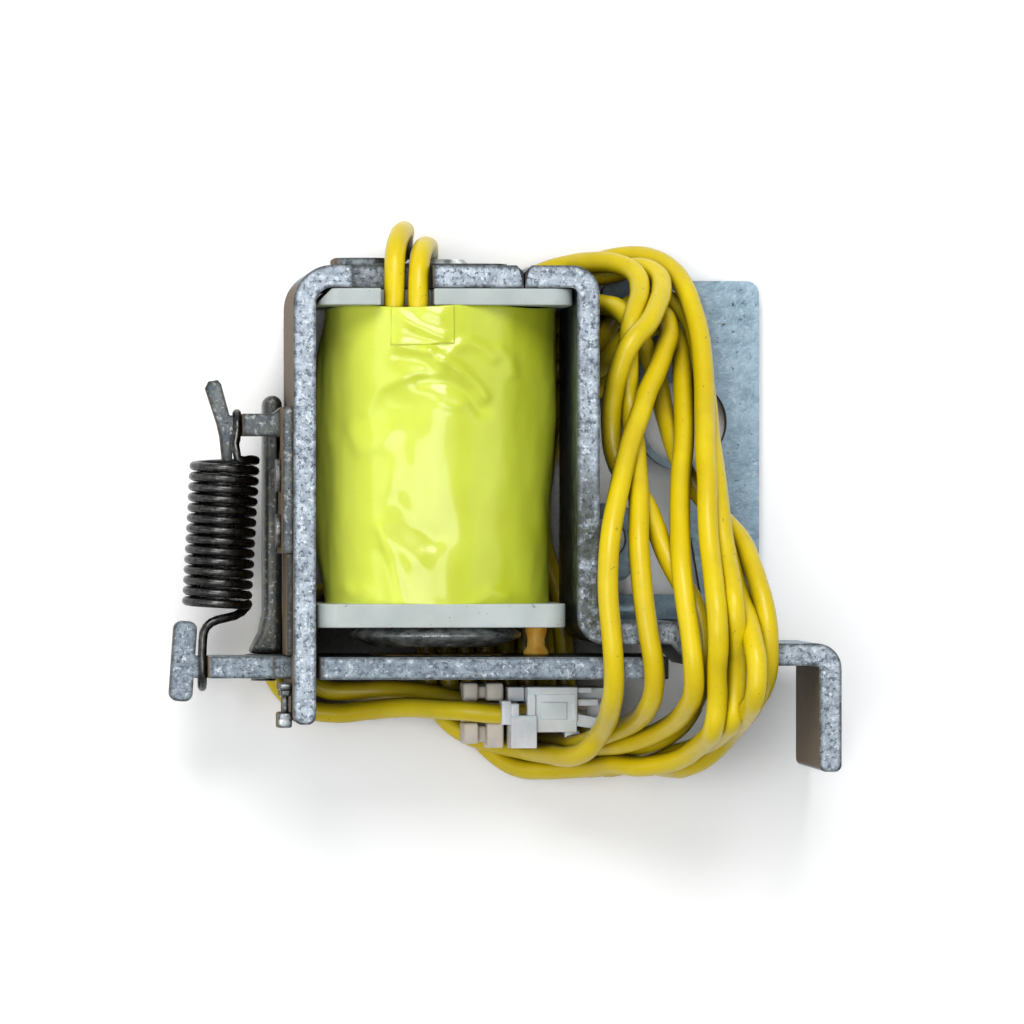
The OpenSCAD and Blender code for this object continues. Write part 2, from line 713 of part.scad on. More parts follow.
module hinge_keeper() {
    color("gray") {
        pin_x(keeper_y, keeper_z, rivet_r - 0.03, hinge_leg_x - eps, hinge_leg_x + sheet_t);
        pin_x(keeper_y, keeper_z, keeper_r, hinge_leg_x - 0.4, hinge_leg_x);
        pin_x(keeper_y, keeper_z, 0.8, hinge_leg_x - 0.8, hinge_leg_x - 0.4 + eps);
        pin_x(keeper_y, keeper_z, keeper_r, hinge_leg_x - 1.2, hinge_leg_x - 0.8 + eps);
    }
}

// A hook round a neck, seen along X, from angle a0 to a1
function hook_arc(centre, r, a0, a1, steps) =
    [for (i = [0:steps]) let (a = a0 + (a1 - a0) * i / steps) centre + r * [0, sin(a), cos(a)]];

// Close turns with an open hook at each end, as one wire
module return_spring() {
    steps = 12;
    wire_r = spring_wire / 2;
    upper_r = norm([0.7, 0.8]) + wire_r + hook_play;
    lower_r = norm([arm_t, tail_neck_w]) / 2 + wire_r + hook_play;
    start = acos((upper_hook[0] - spring_x) / spring_r);
    total = start + 360 * spring_turns;
    rings = round(total * steps / 360);
    turn_y = -spring_top - wire_r;
    helix = [for (i = [0:rings]) let (t = i / rings, a = start - total * t)
        [spring_x - spring_lean * t + spring_r * cos(a), turn_y - spring_pitch * total * t / 360,
        mid_z + spring_r * sin(a)]];
    end_y = turn_y - spring_pitch * total / 360;
    end_x = spring_x - spring_lean;
    crossing = [[end_x + 1.3, end_y - 0.7, mid_z + 0.8], [end_x, end_y - 1, mid_z + 1.3],
        [end_x - 0.8, end_y - 1.5, mid_z + lower_r], [lower_hook[0], end_y - 2.4, mid_z + lower_r]];
    color("dimgray")
        cord(concat(hook_arc(upper_hook, upper_r, 215, 0, 12), helix, crossing,
            hook_arc(lower_hook, lower_r, 0, -200, 12)), wire_r);
}

// ---- Leads ----

module lead_a() {
    color("gold")
        cord(route_a, lead_r);
}

module lead_b() {
    color("gold")
        cord(route_b, lead_r);
}

module bundle_back() {
    color("gold")
        slab(0, bundle_t)
            polygon(back_outline);
}

module bundle_front() {
    color("gold")
        strand(front_inner, front_outer, strand_t);
}

module tail_a() {
    color("gold")
        cord(tail_route_a, lead_r, [0, 0, 1]);
}

module tail_b() {
    color("gold")
        cord(tail_route_b, lead_r, [0, 0, 1]);
}

// ---- Connector ----

module connector_housing() {
    top = housing_top;
    bottom = top - housing_h;
    z1 = housing_z + housing_w;
    color("gainsboro")
        difference() {
            union() {
                box([housing_left, bottom, housing_z], [housing_x, top, z1]);
                box([entry_x, contact_y - 1.2, housing_z + 0.2], [housing_left + eps, contact_y + 1, z1 - 0.3]);
                box([housing_left - 1.3, bottom - 1.1, z1 - 1.6], [housing_left + 0.7, contact_y + 0.7, z1 + 0.4]);
            }
            for (z = contact_z)
                box([entry_x - 1, contact_y - cavity / 2, z - cavity / 2],
                    [housing_x - 0.8, contact_y + cavity / 2, z + cavity / 2]);
            for (z = contact_z)
                pin_x(contact_y, z, 0.5, housing_x - 1, housing_x + 1);
            // Recessed panel and the notch beside the latch
            box([housing_left + 1, bottom + 1.1, z1 - 0.3], [housing_x - 1.4, top - 0.8, z1 + 1]);
            box([housing_x - 1.2, contact_y + 0.1, z1 - 0.8], [housing_x + 1, top - 0.8, z1 + 1]);
        }
}

module connector_contacts() {
    color("tan")
        for (z = contact_z)
            box([contact_x, contact_y - contact_w / 2, z - contact_w / 2],
                [contact_x + contact_l, contact_y + contact_w / 2, z + contact_w / 2]);
}

module connector_retainer() {
    z0 = (contact_z[0] + contact_z[1]) / 2 - 0.42;
    z1 = z0 + 0.84;
    bottom = housing_top - housing_h - 0.9;
    color("tan") {
        box([entry_x - 2.9, bottom + 0.6, z0], [entry_x - 0.05, housing_top, z1]);
        box([entry_x - 2.9, bottom, z0], [entry_x - 1.8, bottom + 0.7, z1]);
        box([entry_x - 1.2, bottom - 0.2, z0], [entry_x - 0.05, bottom + 0.7, z1]);
    }
}

yoke();
bracket();
core();
core_plate();
pole_shoe();
bobbin();
winding();
coil_tape();
tape_patch();
lead_splices();
armature();
armature_lever();
lever_rivet();
residual_shim();
damper_pad();
spring_anchor();
anchor_rivets();
hinge_keeper();
return_spring();
lead_a();
lead_b();
bundle_back();
bundle_front();
tail_a();
tail_b();
connector_housing();
connector_contacts();
connector_retainer();
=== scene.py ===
import math
import bpy
import bmesh
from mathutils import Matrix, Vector, noise


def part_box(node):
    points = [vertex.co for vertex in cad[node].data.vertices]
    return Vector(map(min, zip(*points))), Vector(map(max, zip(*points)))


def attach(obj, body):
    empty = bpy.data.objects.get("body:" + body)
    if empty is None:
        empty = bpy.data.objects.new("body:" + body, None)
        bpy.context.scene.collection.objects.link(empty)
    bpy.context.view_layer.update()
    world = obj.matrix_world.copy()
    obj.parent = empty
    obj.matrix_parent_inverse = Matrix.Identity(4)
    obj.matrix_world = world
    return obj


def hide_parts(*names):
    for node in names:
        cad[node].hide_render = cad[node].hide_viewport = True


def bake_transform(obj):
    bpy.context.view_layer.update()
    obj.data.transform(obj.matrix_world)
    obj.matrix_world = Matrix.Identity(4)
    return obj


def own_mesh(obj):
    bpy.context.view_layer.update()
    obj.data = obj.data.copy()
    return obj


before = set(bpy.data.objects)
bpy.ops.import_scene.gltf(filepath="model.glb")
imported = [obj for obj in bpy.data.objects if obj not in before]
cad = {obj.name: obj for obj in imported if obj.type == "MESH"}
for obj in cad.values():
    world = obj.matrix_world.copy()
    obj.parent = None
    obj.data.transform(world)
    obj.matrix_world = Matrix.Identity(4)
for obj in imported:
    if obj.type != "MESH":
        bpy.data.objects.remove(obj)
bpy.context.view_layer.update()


# ---- Camera ----
# A long lens over the solenoid as it lies on its back, a little to its left,
# so that the outer faces of the hinge leg and the armature's hook show.

lean = math.radians(4.26)
aim = Vector((-0.01399, -0.00663, 0.0179))
stand_off = 0.545
toward_camera = Vector((-math.sin(lean), 0, math.cos(lean)))
lens_data = bpy.data.cameras.new("long_lens")
lens_data.lens = 268.2
lens_data.sensor_width = 36
lens_data.clip_start = 0.05
lens_data.clip_end = 5
camera = bpy.data.objects.new("camera", lens_data)
bpy.context.scene.collection.objects.link(camera)
camera.location = aim + stand_off * toward_camera
camera.rotation_euler = (0, -lean, 0)
bpy.context.scene.camera = camera


# ---- Yoke and bracket ----
# The magnetic frame: a U of 1.6 mm zinc-plated steel strip, sheared and bent, and
# the bracket leg with its mounting plate and hook, staked to it at a dovetail.

def finish_cad(name, material, chamfer):
    piece = cad[name]
    piece.data.materials.clear()
    piece.data.materials.append(material)
    weld = piece.modifiers.new("join_faces", "WELD")
    weld.merge_threshold = 0.000002
    flat = piece.modifiers.new("flat_faces", "DECIMATE")
    flat.decimate_type = "DISSOLVE"
    flat.angle_limit = math.radians(1)
    if chamfer:
        rounding = piece.modifiers.new("broken_edges", "BEVEL")
        rounding.width = chamfer
        rounding.segments = 3
        rounding.angle_limit = math.radians(32)
        rounding.use_clamp_overlap = True
    shading = piece.modifiers.new("even_shading", "WEIGHTED_NORMAL")
    shading.keep_sharp = False
    shading.weight = 60


def put(tree, kind, **settings):
    node = tree.nodes.new("ShaderNode" + kind)
    for name, value in settings.items():
        socket_name = name.replace("_", " ")
        if hasattr(node, name) and socket_name not in node.inputs:
            setattr(node, name, value)
        elif isinstance(value, bpy.types.NodeSocket):
            tree.links.new(value, node.inputs[socket_name])
        else:
            node.inputs[socket_name].default_value = value
    return node


def rgb(r, g, b):
    return (r, g, b, 1)


def lay_over(tree, factor, below, above):
    node = tree.nodes.new("ShaderNodeMix")
    node.data_type = "RGBA"
    for socket, value in zip((node.inputs[0], node.inputs[6], node.inputs[7]), (factor, below, above)):
        if isinstance(value, bpy.types.NodeSocket):
            tree.links.new(value, socket)
        else:
            socket.default_value = value
    return node.outputs[2]


def reckon(tree, how, a, b=0.0, c=0.0):
    node = tree.nodes.new("ShaderNodeMath")
    node.operation = how
    for socket, value in zip(node.inputs, (a, b, c)):
        if isinstance(value, bpy.types.NodeSocket):
            tree.links.new(value, socket)
        else:
            socket.default_value = value
    return node.outputs[0]


def place_in(tree, scale=(1, 1, 1)):
    here = put(tree, "TexCoord").outputs["Object"]
    return put(tree, "Mapping", Vector=here, Scale=scale).outputs["Vector"]


def new_effect(name, inputs, outputs):
    tree = bpy.data.node_groups.new(name, "ShaderNodeTree")
    for label, kind, value in inputs:
        socket = tree.interface.new_socket(label, in_out="INPUT", socket_type="NodeSocket" + kind)
        socket.default_value = value
    for label, kind in outputs:
        tree.interface.new_socket(label, in_out="OUTPUT", socket_type="NodeSocket" + kind)
    return tree, tree.nodes.new("NodeGroupInput").outputs, tree.nodes.new("NodeGroupOutput").inputs


def place_effect(tree, effect, **settings):
    node = tree.nodes.new("ShaderNodeGroup")
    node.node_tree = effect
    for name, value in settings.items():
        socket = node.inputs[name.replace("_", " ")]
        if isinstance(value, bpy.types.NodeSocket):
            tree.links.new(value, socket)
        else:
            socket.default_value = value
    return node.outputs


def new_finish(name, **settings):
    material = bpy.data.materials.new(name)
    material.use_nodes = True
    tree = material.node_tree
    tree.nodes.clear()
    surface = put(tree, "BsdfPrincipled", **settings)
    out = tree.nodes.new("ShaderNodeOutputMaterial")
    tree.links.new(surface.outputs[0], out.inputs["Surface"])
    return material, tree, surface.inputs


def raise_grain(tree, sockets, height, strength, distance):
    bump = put(tree, "Bump", Height=height, Strength=strength, Distance=distance)
    tree.links.new(bump.outputs[0], sockets["Normal"])


def noise_mask(tree, low, high, scale, detail=3.0, stretch=(1, 1, 1)):
    speckle = put(tree, "TexNoise", Vector=place_in(tree, stretch), Scale=scale, Detail=detail,
                  Roughness=0.65)
    return put(tree, "MapRange", Value=speckle.outputs[0], From_Min=low, From_Max=high).outputs[0]


# Zinc plate: cloudy spangle on the rolled faces, torn and pitted on the sheared front
# edges with dark outlines, a painted warm brown reflection on the outer left faces, and
# painted shade in the hollows. The rims are found within 0.3 mm of an edge, the hollows within 7 mm
zinc, zinc_in, zinc_out = new_effect(
    "zinc_plate",
    [("Bright", "Color", rgb(0.5, 0.56, 0.6)), ("Dull", "Color", rgb(0.22, 0.29, 0.33)),
     ("Sheared", "Color", rgb(0.5, 0.55, 0.6)), ("Pits", "Float", 0.4), ("Drag lines", "Float", 0.3),
     ("Outlines", "Float", 0.95), ("Tarnish", "Float", 0.6), ("Hollows", "Float", 0.8)],
    [("Color", "Color"), ("Roughness", "Float"), ("Metal", "Float"), ("Height", "Float")])
cloud = noise_mask(zinc, 0.36, 0.66, 900.0, 6.0)
grain = noise_mask(zinc, 0.3, 0.7, 5200.0)
rolled_tone = lay_over(zinc, cloud, zinc_in["Dull"], zinc_in["Bright"])
spangle = reckon(zinc, "MULTIPLY", noise_mask(zinc, 0.6, 0.68, 1500.0), 0.35)
rolled_tone = lay_over(zinc, spangle, rolled_tone, rgb(0.5, 0.56, 0.6))
normal = put(zinc, "SeparateXYZ", Vector=put(zinc, "NewGeometry").outputs["Normal"]).outputs
level = put(zinc, "SeparateXYZ", Vector=place_in(zinc)).outputs["Z"]
# Painted reflection: faces turned to the left, more than 6 mm from the bracket leg, take a warm brown
# colour and lose metal, for a brown surrounding reflected in them
side = put(zinc, "MapRange", Value=normal["X"], From_Min=-0.6, From_Max=-0.9).outputs[0]
across = put(zinc, "SeparateXYZ", Vector=place_in(zinc)).outputs["X"]
bracket_leg_x = -0.0095
from_leg = reckon(zinc, "ABSOLUTE", reckon(zinc, "SUBTRACT", across, bracket_leg_x))
outer = put(zinc, "MapRange", Value=from_leg, From_Min=0.006, From_Max=0.008).outputs[0]
side = reckon(zinc, "MULTIPLY", side, outer)
brown_reflection = reckon(zinc, "MULTIPLY", side, zinc_in["Tarnish"])
rolled_tone = lay_over(zinc, brown_reflection, rolled_tone, rgb(0.17, 0.1, 0.035))
sheared = reckon(zinc, "MULTIPLY",
                put(zinc, "MapRange", Value=normal["Z"], From_Min=0.5, From_Max=0.8).outputs[0],
                put(zinc, "MapRange", Value=level, From_Min=0.003, From_Max=0.005).outputs[0])
torn = noise_mask(zinc, 0.38, 0.62, 1000.0, 6.0)
sheared_tone = lay_over(zinc, torn, lay_over(zinc, 0.5, zinc_in["Sheared"], rgb(0.03, 0.045, 0.07)),
                        zinc_in["Sheared"])
dark_grain = reckon(zinc, "MULTIPLY", noise_mask(zinc, 0.53, 0.6, 3000.0, 5.0), 0.85)
sheared_tone = lay_over(zinc, dark_grain, sheared_tone, rgb(0.07, 0.085, 0.11))
fleck = lay_over(zinc, 0.3, zinc_in["Sheared"], rgb(1.0, 1.0, 1.0))
bright_grain = reckon(zinc, "MULTIPLY", noise_mask(zinc, 0.56, 0.63, 2700.0, 4.0), 0.7)
sheared_tone = lay_over(zinc, bright_grain, sheared_tone, fleck)
drag = reckon(zinc, "MULTIPLY", noise_mask(zinc, 0.55, 0.66, 4200.0, 4.0, (0.12, 1, 1)), sheared)
drag = reckon(zinc, "MULTIPLY", drag, reckon(zinc, "MULTIPLY", zinc_in["Drag lines"], 0.6))
sheared_tone = lay_over(zinc, drag, sheared_tone, rgb(0.05, 0.06, 0.08))
rim = put(zinc, "AmbientOcclusion", Distance=0.00032, inside=True, only_local=True, samples=6).outputs["AO"]
rim = put(zinc, "MapRange", Value=rim, From_Min=0.9, From_Max=0.72).outputs[0]
rim = reckon(zinc, "MULTIPLY", reckon(zinc, "MULTIPLY", rim, zinc_in["Outlines"]),
            reckon(zinc, "MULTIPLY_ADD", torn, -0.25, 1.0))
sheared_tone = lay_over(zinc, rim, sheared_tone, rgb(0.02, 0.022, 0.02))
tone = lay_over(zinc, sheared, rolled_tone, sheared_tone)
pits = noise_mask(zinc, 0.62, 0.67, 1900.0, 4.0)
clusters = noise_mask(zinc, 0.42, 0.6, 330.0, 2.0)
pits = reckon(zinc, "MULTIPLY", reckon(zinc, "MULTIPLY", pits, clusters), zinc_in["Pits"])
tone = lay_over(zinc, pits, tone, rgb(0.02, 0.02, 0.02))
# Painted shade: within 7 mm of other surfaces the colour darkens to near black, as far as Hollows allows
open_sky = put(zinc, "AmbientOcclusion", Distance=0.007, samples=6).outputs["AO"]
hollow_shade = put(zinc, "MapRange", Value=open_sky, From_Min=0.15, From_Max=0.75, To_Min=1.0,
             To_Max=0.0).outputs[0]
tone = lay_over(zinc, reckon(zinc, "MULTIPLY", hollow_shade, zinc_in["Hollows"]), tone, rgb(0.02, 0.018, 0.008))
zinc.links.new(tone, zinc_out["Color"])
smooth = put(zinc, "MapRange", Value=cloud, To_Min=0.34, To_Max=0.5).outputs[0]
zinc.links.new(reckon(zinc, "MULTIPLY_ADD", brown_reflection, 0.45, smooth), zinc_out["Roughness"])
zinc.links.new(reckon(zinc, "SUBTRACT", 1.0, brown_reflection), zinc_out["Metal"])
raised = reckon(zinc, "MULTIPLY_ADD", grain, 0.4, cloud)
zinc.links.new(reckon(zinc, "SUBTRACT", raised, pits), zinc_out["Height"])


def zinc_finish(name, bright, dull, sheared, pits, drag_lines, metallic=0.7, bump=0.3, hollows=0.8,
                reflection_amount=0.85):
    material, tree, sockets = new_finish(name)
    plate = place_effect(tree, zinc, Bright=bright, Dull=dull, Sheared=sheared, Pits=pits,
                         Drag_lines=drag_lines, Hollows=hollows, Tarnish=reflection_amount)
    tree.links.new(plate["Color"], sockets["Base Color"])
    tree.links.new(plate["Roughness"], sockets["Roughness"])
    tree.links.new(reckon(tree, "MULTIPLY", plate["Metal"], metallic), sockets["Metallic"])
    raise_grain(tree, sockets, plate["Height"], bump, 0.00005)
    return material


frame_zinc = zinc_finish("frame_zinc", bright=rgb(0.3, 0.4, 0.48), dull=rgb(0.18, 0.26, 0.32),
                         sheared=rgb(0.36, 0.415, 0.465), pits=0.8, drag_lines=0.5, bump=0.5)
# The open V of the dovetail, painted in as a dark wedge of shade, and painted shade in dark blotches low on
# the bracket's leg
seam_x, seam_y = -0.0131, 0.0096
leg_front_x = -0.0085
tree = frame_zinc.node_tree
surface = next(node for node in tree.nodes if node.type == "BSDF_PRINCIPLED")
spot = put(tree, "SeparateXYZ", Vector=place_in(tree)).outputs
# Painted shade: a dark wedge, widening upward from the seam, stands for the open notch
open_width = reckon(tree, "MULTIPLY_ADD", reckon(tree, "SUBTRACT", spot["Y"], seam_y), 0.26, 0.00008)
from_seam = reckon(tree, "ABSOLUTE", reckon(tree, "SUBTRACT", spot["X"], seam_x))
notch = reckon(tree, "MULTIPLY", reckon(tree, "LESS_THAN", from_seam, open_width),
              reckon(tree, "GREATER_THAN", spot["Y"], seam_y - 0.0004))
plain = surface.inputs["Base Color"].links[0].from_socket
notched = lay_over(tree, reckon(tree, "MULTIPLY", notch, 0.92), plain, rgb(0.015, 0.015, 0.014))
# Painted shade: dark blotches on the bracket's leg, within 1 mm of its front x, growing towards the bottom
off_leg = reckon(tree, "ABSOLUTE", reckon(tree, "SUBTRACT", spot["X"], leg_front_x))
on_leg = reckon(tree, "LESS_THAN", off_leg, 0.001)
low_down = put(tree, "MapRange", Value=spot["Y"], From_Min=0.001, From_Max=-0.007).outputs[0]
blotches = noise_mask(tree, 0.4, 0.52, 650.0, 5.0)
leg_shade = reckon(tree, "MULTIPLY", reckon(tree, "MULTIPLY", on_leg, low_down), blotches)
tree.links.new(lay_over(tree, reckon(tree, "MULTIPLY", leg_shade, 0.85), notched, rgb(0.03, 0.032, 0.02)),
               surface.inputs["Base Color"])
for name in ("yoke", "bracket"):
    finish_cad(name, frame_zinc, 0.0002)


# ---- Core, pole shoe and core plate ----
# A soft-iron core staked into the top of the yoke, with a thin plate on its head
# and a round pole shoe below the bobbin that pulls the armature in.

pole_iron, tree, sockets = new_finish("pole_iron", Metallic=0.6)
plate = place_effect(tree, zinc, Bright=rgb(0.85, 0.9, 0.88), Dull=rgb(0.05, 0.055, 0.05),
                     Sheared=rgb(0.85, 0.9, 0.88), Pits=0.9, Drag_lines=0.9, Hollows=0.2)
tree.links.new(plate["Color"], sockets["Base Color"])
tree.links.new(plate["Roughness"], sockets["Roughness"])
raise_grain(tree, sockets, plate["Height"], 0.5, 0.00006)
for name in ("core", "pole_shoe"):
    finish_cad(name, pole_iron, 0.0001)
staked_zinc = zinc_finish("staked_zinc", bright=rgb(0.4, 0.45, 0.48), dull=rgb(0.1, 0.12, 0.13),
                          sheared=rgb(0.3, 0.34, 0.36), pits=0.8, drag_lines=0.4)
finish_cad("core_plate", staked_zinc, 0.00006)


# ---- Bobbin ----
# A moulded white nylon former, threaded on the core between the yoke's top and the
# armature. Its two square flanges keep the winding off the steel.

def steps_of_colour(tree, factor, *stops):
    node = tree.nodes.new("ShaderNodeValToRGB")
    ramp = node.color_ramp
    while len(ramp.elements) < len(stops):
        ramp.elements.new(0.5)
    for element, (place, colour) in zip(ramp.elements, stops):
        element.position = place
        element.color = colour
    tree.links.new(factor, node.inputs["Fac"])
    return node.outputs["Color"]


# Handling marks: scattered dark specks and faint cloudy smears, for plastics and tape
grime, grime_in, grime_out = new_effect(
    "handling_marks", [("Speck size", "Float", 0.0004), ("Specks", "Float", 0.5)],
    [("Specks", "Float"), ("Smears", "Float")])
speck_scale = reckon(grime, "DIVIDE", 1.0, grime_in["Speck size"])
speck_noise = put(grime, "TexNoise", Vector=place_in(grime), Scale=speck_scale, Detail=3.0, Roughness=0.6)
speck_floor = reckon(grime, "MULTIPLY_ADD", grime_in["Specks"], -0.2, 0.76)
speck_mask = put(grime, "MapRange", Value=speck_noise.outputs[0], From_Min=speck_floor,
                 From_Max=reckon(grime, "ADD", speck_floor, 0.04))
smear_noise = put(grime, "TexNoise", Vector=place_in(grime, (1, 0.6, 1)), Scale=260.0, Detail=4.0,
                  Roughness=0.65)
smear_mask = put(grime, "MapRange", Value=smear_noise.outputs[0], From_Min=0.45, From_Max=0.75)
grime.links.new(speck_mask.outputs[0], grime_out["Specks"])
grime.links.new(smear_mask.outputs[0], grime_out["Smears"])


def moulded_finish(name, tint, deep, roughness, scatter=0.2, specks=0.35):
    material, tree, sockets = new_finish(name, Subsurface_Weight=scatter, Subsurface_Scale=0.0008)
    marks = place_effect(tree, grime, Speck_size=0.0004, Specks=specks)
    flow = put(tree, "TexNoise", Vector=place_in(tree), Scale=330.0, Detail=4.0).outputs[0]
    body = steps_of_colour(tree, flow, (0.35, deep), (0.65, tint))
    smeared = lay_over(tree, reckon(tree, "MULTIPLY", marks["Smears"], 0.25), body, rgb(0.32, 0.33, 0.28))
    speckled = lay_over(tree, reckon(tree, "MULTIPLY", marks["Specks"], 0.75), smeared,
                        rgb(0.05, 0.05, 0.045))
    tree.links.new(speckled, sockets["Base Color"])
    tree.links.new(put(tree, "MapRange", Value=flow, From_Min=0.3, From_Max=0.7, To_Min=roughness - 0.06,
                       To_Max=roughness + 0.1).outputs[0], sockets["Roughness"])
    raise_grain(tree, sockets, flow, 0.2, 0.00005)
    return material


bobbin_nylon = moulded_finish("bobbin_nylon", rgb(0.44, 0.49, 0.48), rgb(0.36, 0.41, 0.4), 0.42)
finish_cad("bobbin", bobbin_nylon, 0.00018)


# ---- Winding ----
# Enamelled copper wire wound in close layers on the bobbin. It shows only past the
# edge of the tape, so its turns are drawn in the surface.

enamelled_copper, tree, sockets = new_finish("enamelled_copper", Metallic=0.7, Roughness=0.32,
                                             Coat_Weight=0.4)
turns = put(tree, "TexWave", Vector=place_in(tree), wave_type="BANDS", bands_direction="Y", Scale=1100.0,
            Distortion=0.4, Detail=1.0)
enamel_tone = steps_of_colour(tree, turns.outputs["Fac"], (0.1, rgb(0.1, 0.03, 0.012)),
                              (0.7, rgb(0.5, 0.2, 0.08)))
tree.links.new(enamel_tone, sockets["Base Color"])
raise_grain(tree, sockets, turns.outputs["Fac"], 0.6, 0.00006)
finish_cad("winding", enamelled_copper, 0)


# ---- Coil tape ----
# Two layers of clear yellow-green polyester tape round the winding, with a short
# second piece over the splices. It bridges hollows, so it dents and creases.

def mm(x, y, z):
    return Vector((x, y, z)) / 1000


coil_x, coil_z = -18.95, 9.9
tape_top, tape_bottom, tape_r = 8.12, -13.5, 7.98
# Each crease: how far it stands out (or dips), its half width, and its line in x and y
creases = [
    (0.29, 0.47, [(-19.9, 4.9), (-19.5, 4.25), (-18.3, 3.9), (-17.3, 3.1), (-16.1, 1.6)]),
    (-0.29, 0.56, [(-20.6, 2.75), (-18.6, 2.6), (-17.0, 1.8), (-16.2, 0.7)]),
    (0.18, 0.45, [(-18.9, 4.5), (-17.9, 5.2), (-17.0, 5.5), (-16.0, 5.0), (-15.4, 4.4)]),
    (-0.21, 0.67, [(-22.0, 4.3), (-21.0, 4.1), (-19.9, 3.9)]),
    (0.17, 0.39, [(-22.2, 5.3), (-21.0, 5.1), (-19.8, 4.9)]),
    (0.11, 0.39, [(-24.3, 0.6), (-23.3, 2.2), (-22.0, 2.9), (-20.6, 3.25)]),
    (0.14, 0.6, [(-25.3, -0.9), (-24.5, -2.2), (-23.5, -1.8), (-22.6, -0.8)]),
    (-0.22, 1.5, [(-23.4, 0.8), (-22.2, 1.2), (-21.0, 0.8)]),
    (-0.3, 1.7, [(-21.8, 0.6), (-21.6, -3.0), (-20.9, -6.0), (-19.5, -8.3)]),
    (0.13, 0.75, [(-23.4, -7.6), (-22.3, -9.0), (-20.9, -10.0)]),
    (-0.16, 0.8, [(-22.3, -6.0), (-21.0, -7.8), (-19.6, -8.7)]),
    (0.15, 0.39, [(-23.2, -7.8), (-22.5, -10.2), (-21.9, -12.9)]),
    (-0.11, 0.56, [(-23.4, -9.6), (-22.7, -11.4), (-22.4, -13.0)]),
    (0.15, 0.45, [(-16.3, -12.9), (-15.4, -12.4), (-14.2, -12.7)]),
    (0.11, 0.45, [(-25.6, -12.2), (-25.0, -12.5), (-24.6, -12.2)]),
    (0.11, 0.39, [(-19.0, 1.1), (-18.2, 0.85), (-17.4, 1.1)]),
    (0.17, 0.45, [(-22.2, 7.6), (-20.9, 6.7), (-18.9, 5.8)]),
    (-0.14, 0.56, [(-21.0, 6.0), (-19.8, 5.5), (-18.8, 5.35)]),
    (0.17, 0.56, [(-20.0, 7.6), (-19.3, 7.4)]),
    (0.14, 0.5, [(-14.9, 5.0), (-14.2, 4.3), (-13.9, 3.4)]),
    (-0.18, 0.78, [(-26.3, 5.2), (-26.4, 2.4), (-26.2, -0.5)]),
    (-0.12, 1.2, [(-13.0, 6.5), (-13.2, 0.0), (-12.9, -7.0)]),
]


def along_crease(x, y, line):
    nearest = 9.0
    for (ax, ay), (bx, by) in zip(line, line[1:]):
        run_x, run_y = bx - ax, by - ay
        t = max(0.0, min(1.0, ((x - ax) * run_x + (y - ay) * run_y) / (run_x ** 2 + run_y ** 2)))
        nearest = min(nearest, math.hypot(x - ax - t * run_x, y - ay - t * run_y))
    return nearest


# Crowned over the middle, baggy at the right and at the back left, and creased in front
def tape_lift(angle, y):
    x = coil_x + 8.1 * math.sin(angle)
    lift = 0.3 * max(0.0, math.cos(angle)) * math.exp(-(((y + 1) / 8) ** 4))
    lift += 0.75 * math.exp(-((angle - 1.5) / 0.42) ** 2) * min(1.0, max(0.35, (y + 9) / 9))
    lift += 0.85 * math.exp(-((angle - math.tau + 1.75) / 0.3) ** 2) * math.exp(-(((y + 2.6) / 9) ** 6))
    lift += 0.10 * noise.noise((3 * math.sin(angle), 0.16 * y, 3 * math.cos(angle)))
    lift += 0.035 * noise.noise((8 * math.sin(angle), 0.5 * y, 8 * math.cos(angle)))
    if math.cos(angle) > 0:
        for rise, width, line in creases:
            away = along_crease(x, y, line) / width
            if away < 2.6:
                lift += rise * math.exp(-away * away)
    return lift


def wrapped_sheet(name, first, last, top, bottom, radius, around, rows, thickness=0.06):
    sheet = bmesh.new()
    closed = last - first > 6.28
    rings = []
    for r in range(rows + 1):
        y = top + (bottom - top) * r / rows
        ring = []
        for a in range(around if closed else around + 1):
            angle = first + (last - first) * a / around
            edge = 0.1 * math.sin(5 * angle) * (1 if r in (0, rows) else 0)
            out = radius + tape_lift(angle, y)
            ring.append(sheet.verts.new(mm(coil_x + out * math.sin(angle), y + edge,
                                           coil_z + out * math.cos(angle))))
        rings.append(ring)
    for upper, lower in zip(rings, rings[1:]):
        for a in range(around):
            b = (a + 1) % len(upper)
            sheet.faces.new((upper[a], lower[a], lower[b], upper[b]))
    data = bpy.data.meshes.new(name)
    sheet.to_mesh(data)
    sheet.free()
    for face in data.polygons:
        face.use_smooth = True
    piece = bpy.data.objects.new(name, data)
    bpy.context.scene.collection.objects.link(piece)
    film = piece.modifiers.new("film_thickness", "SOLIDIFY")
    film.thickness = thickness / 1000
    film.offset = -1
    return piece


polyester, tree, sockets = new_finish("polyester_tape", Roughness=0.3, Coat_Weight=0.4, Coat_Roughness=0.08,
                                      Subsurface_Weight=0.25, Subsurface_Scale=0.001, IOR=1.5)
marks = place_effect(tree, grime, Speck_size=0.0003, Specks=0.12)
layers = put(tree, "TexNoise", Vector=place_in(tree), Scale=140.0, Detail=3.0).outputs[0]
film_tone = steps_of_colour(tree, layers, (0.3, rgb(0.58, 0.58, 0.022)), (0.7, rgb(0.7, 0.71, 0.055)))
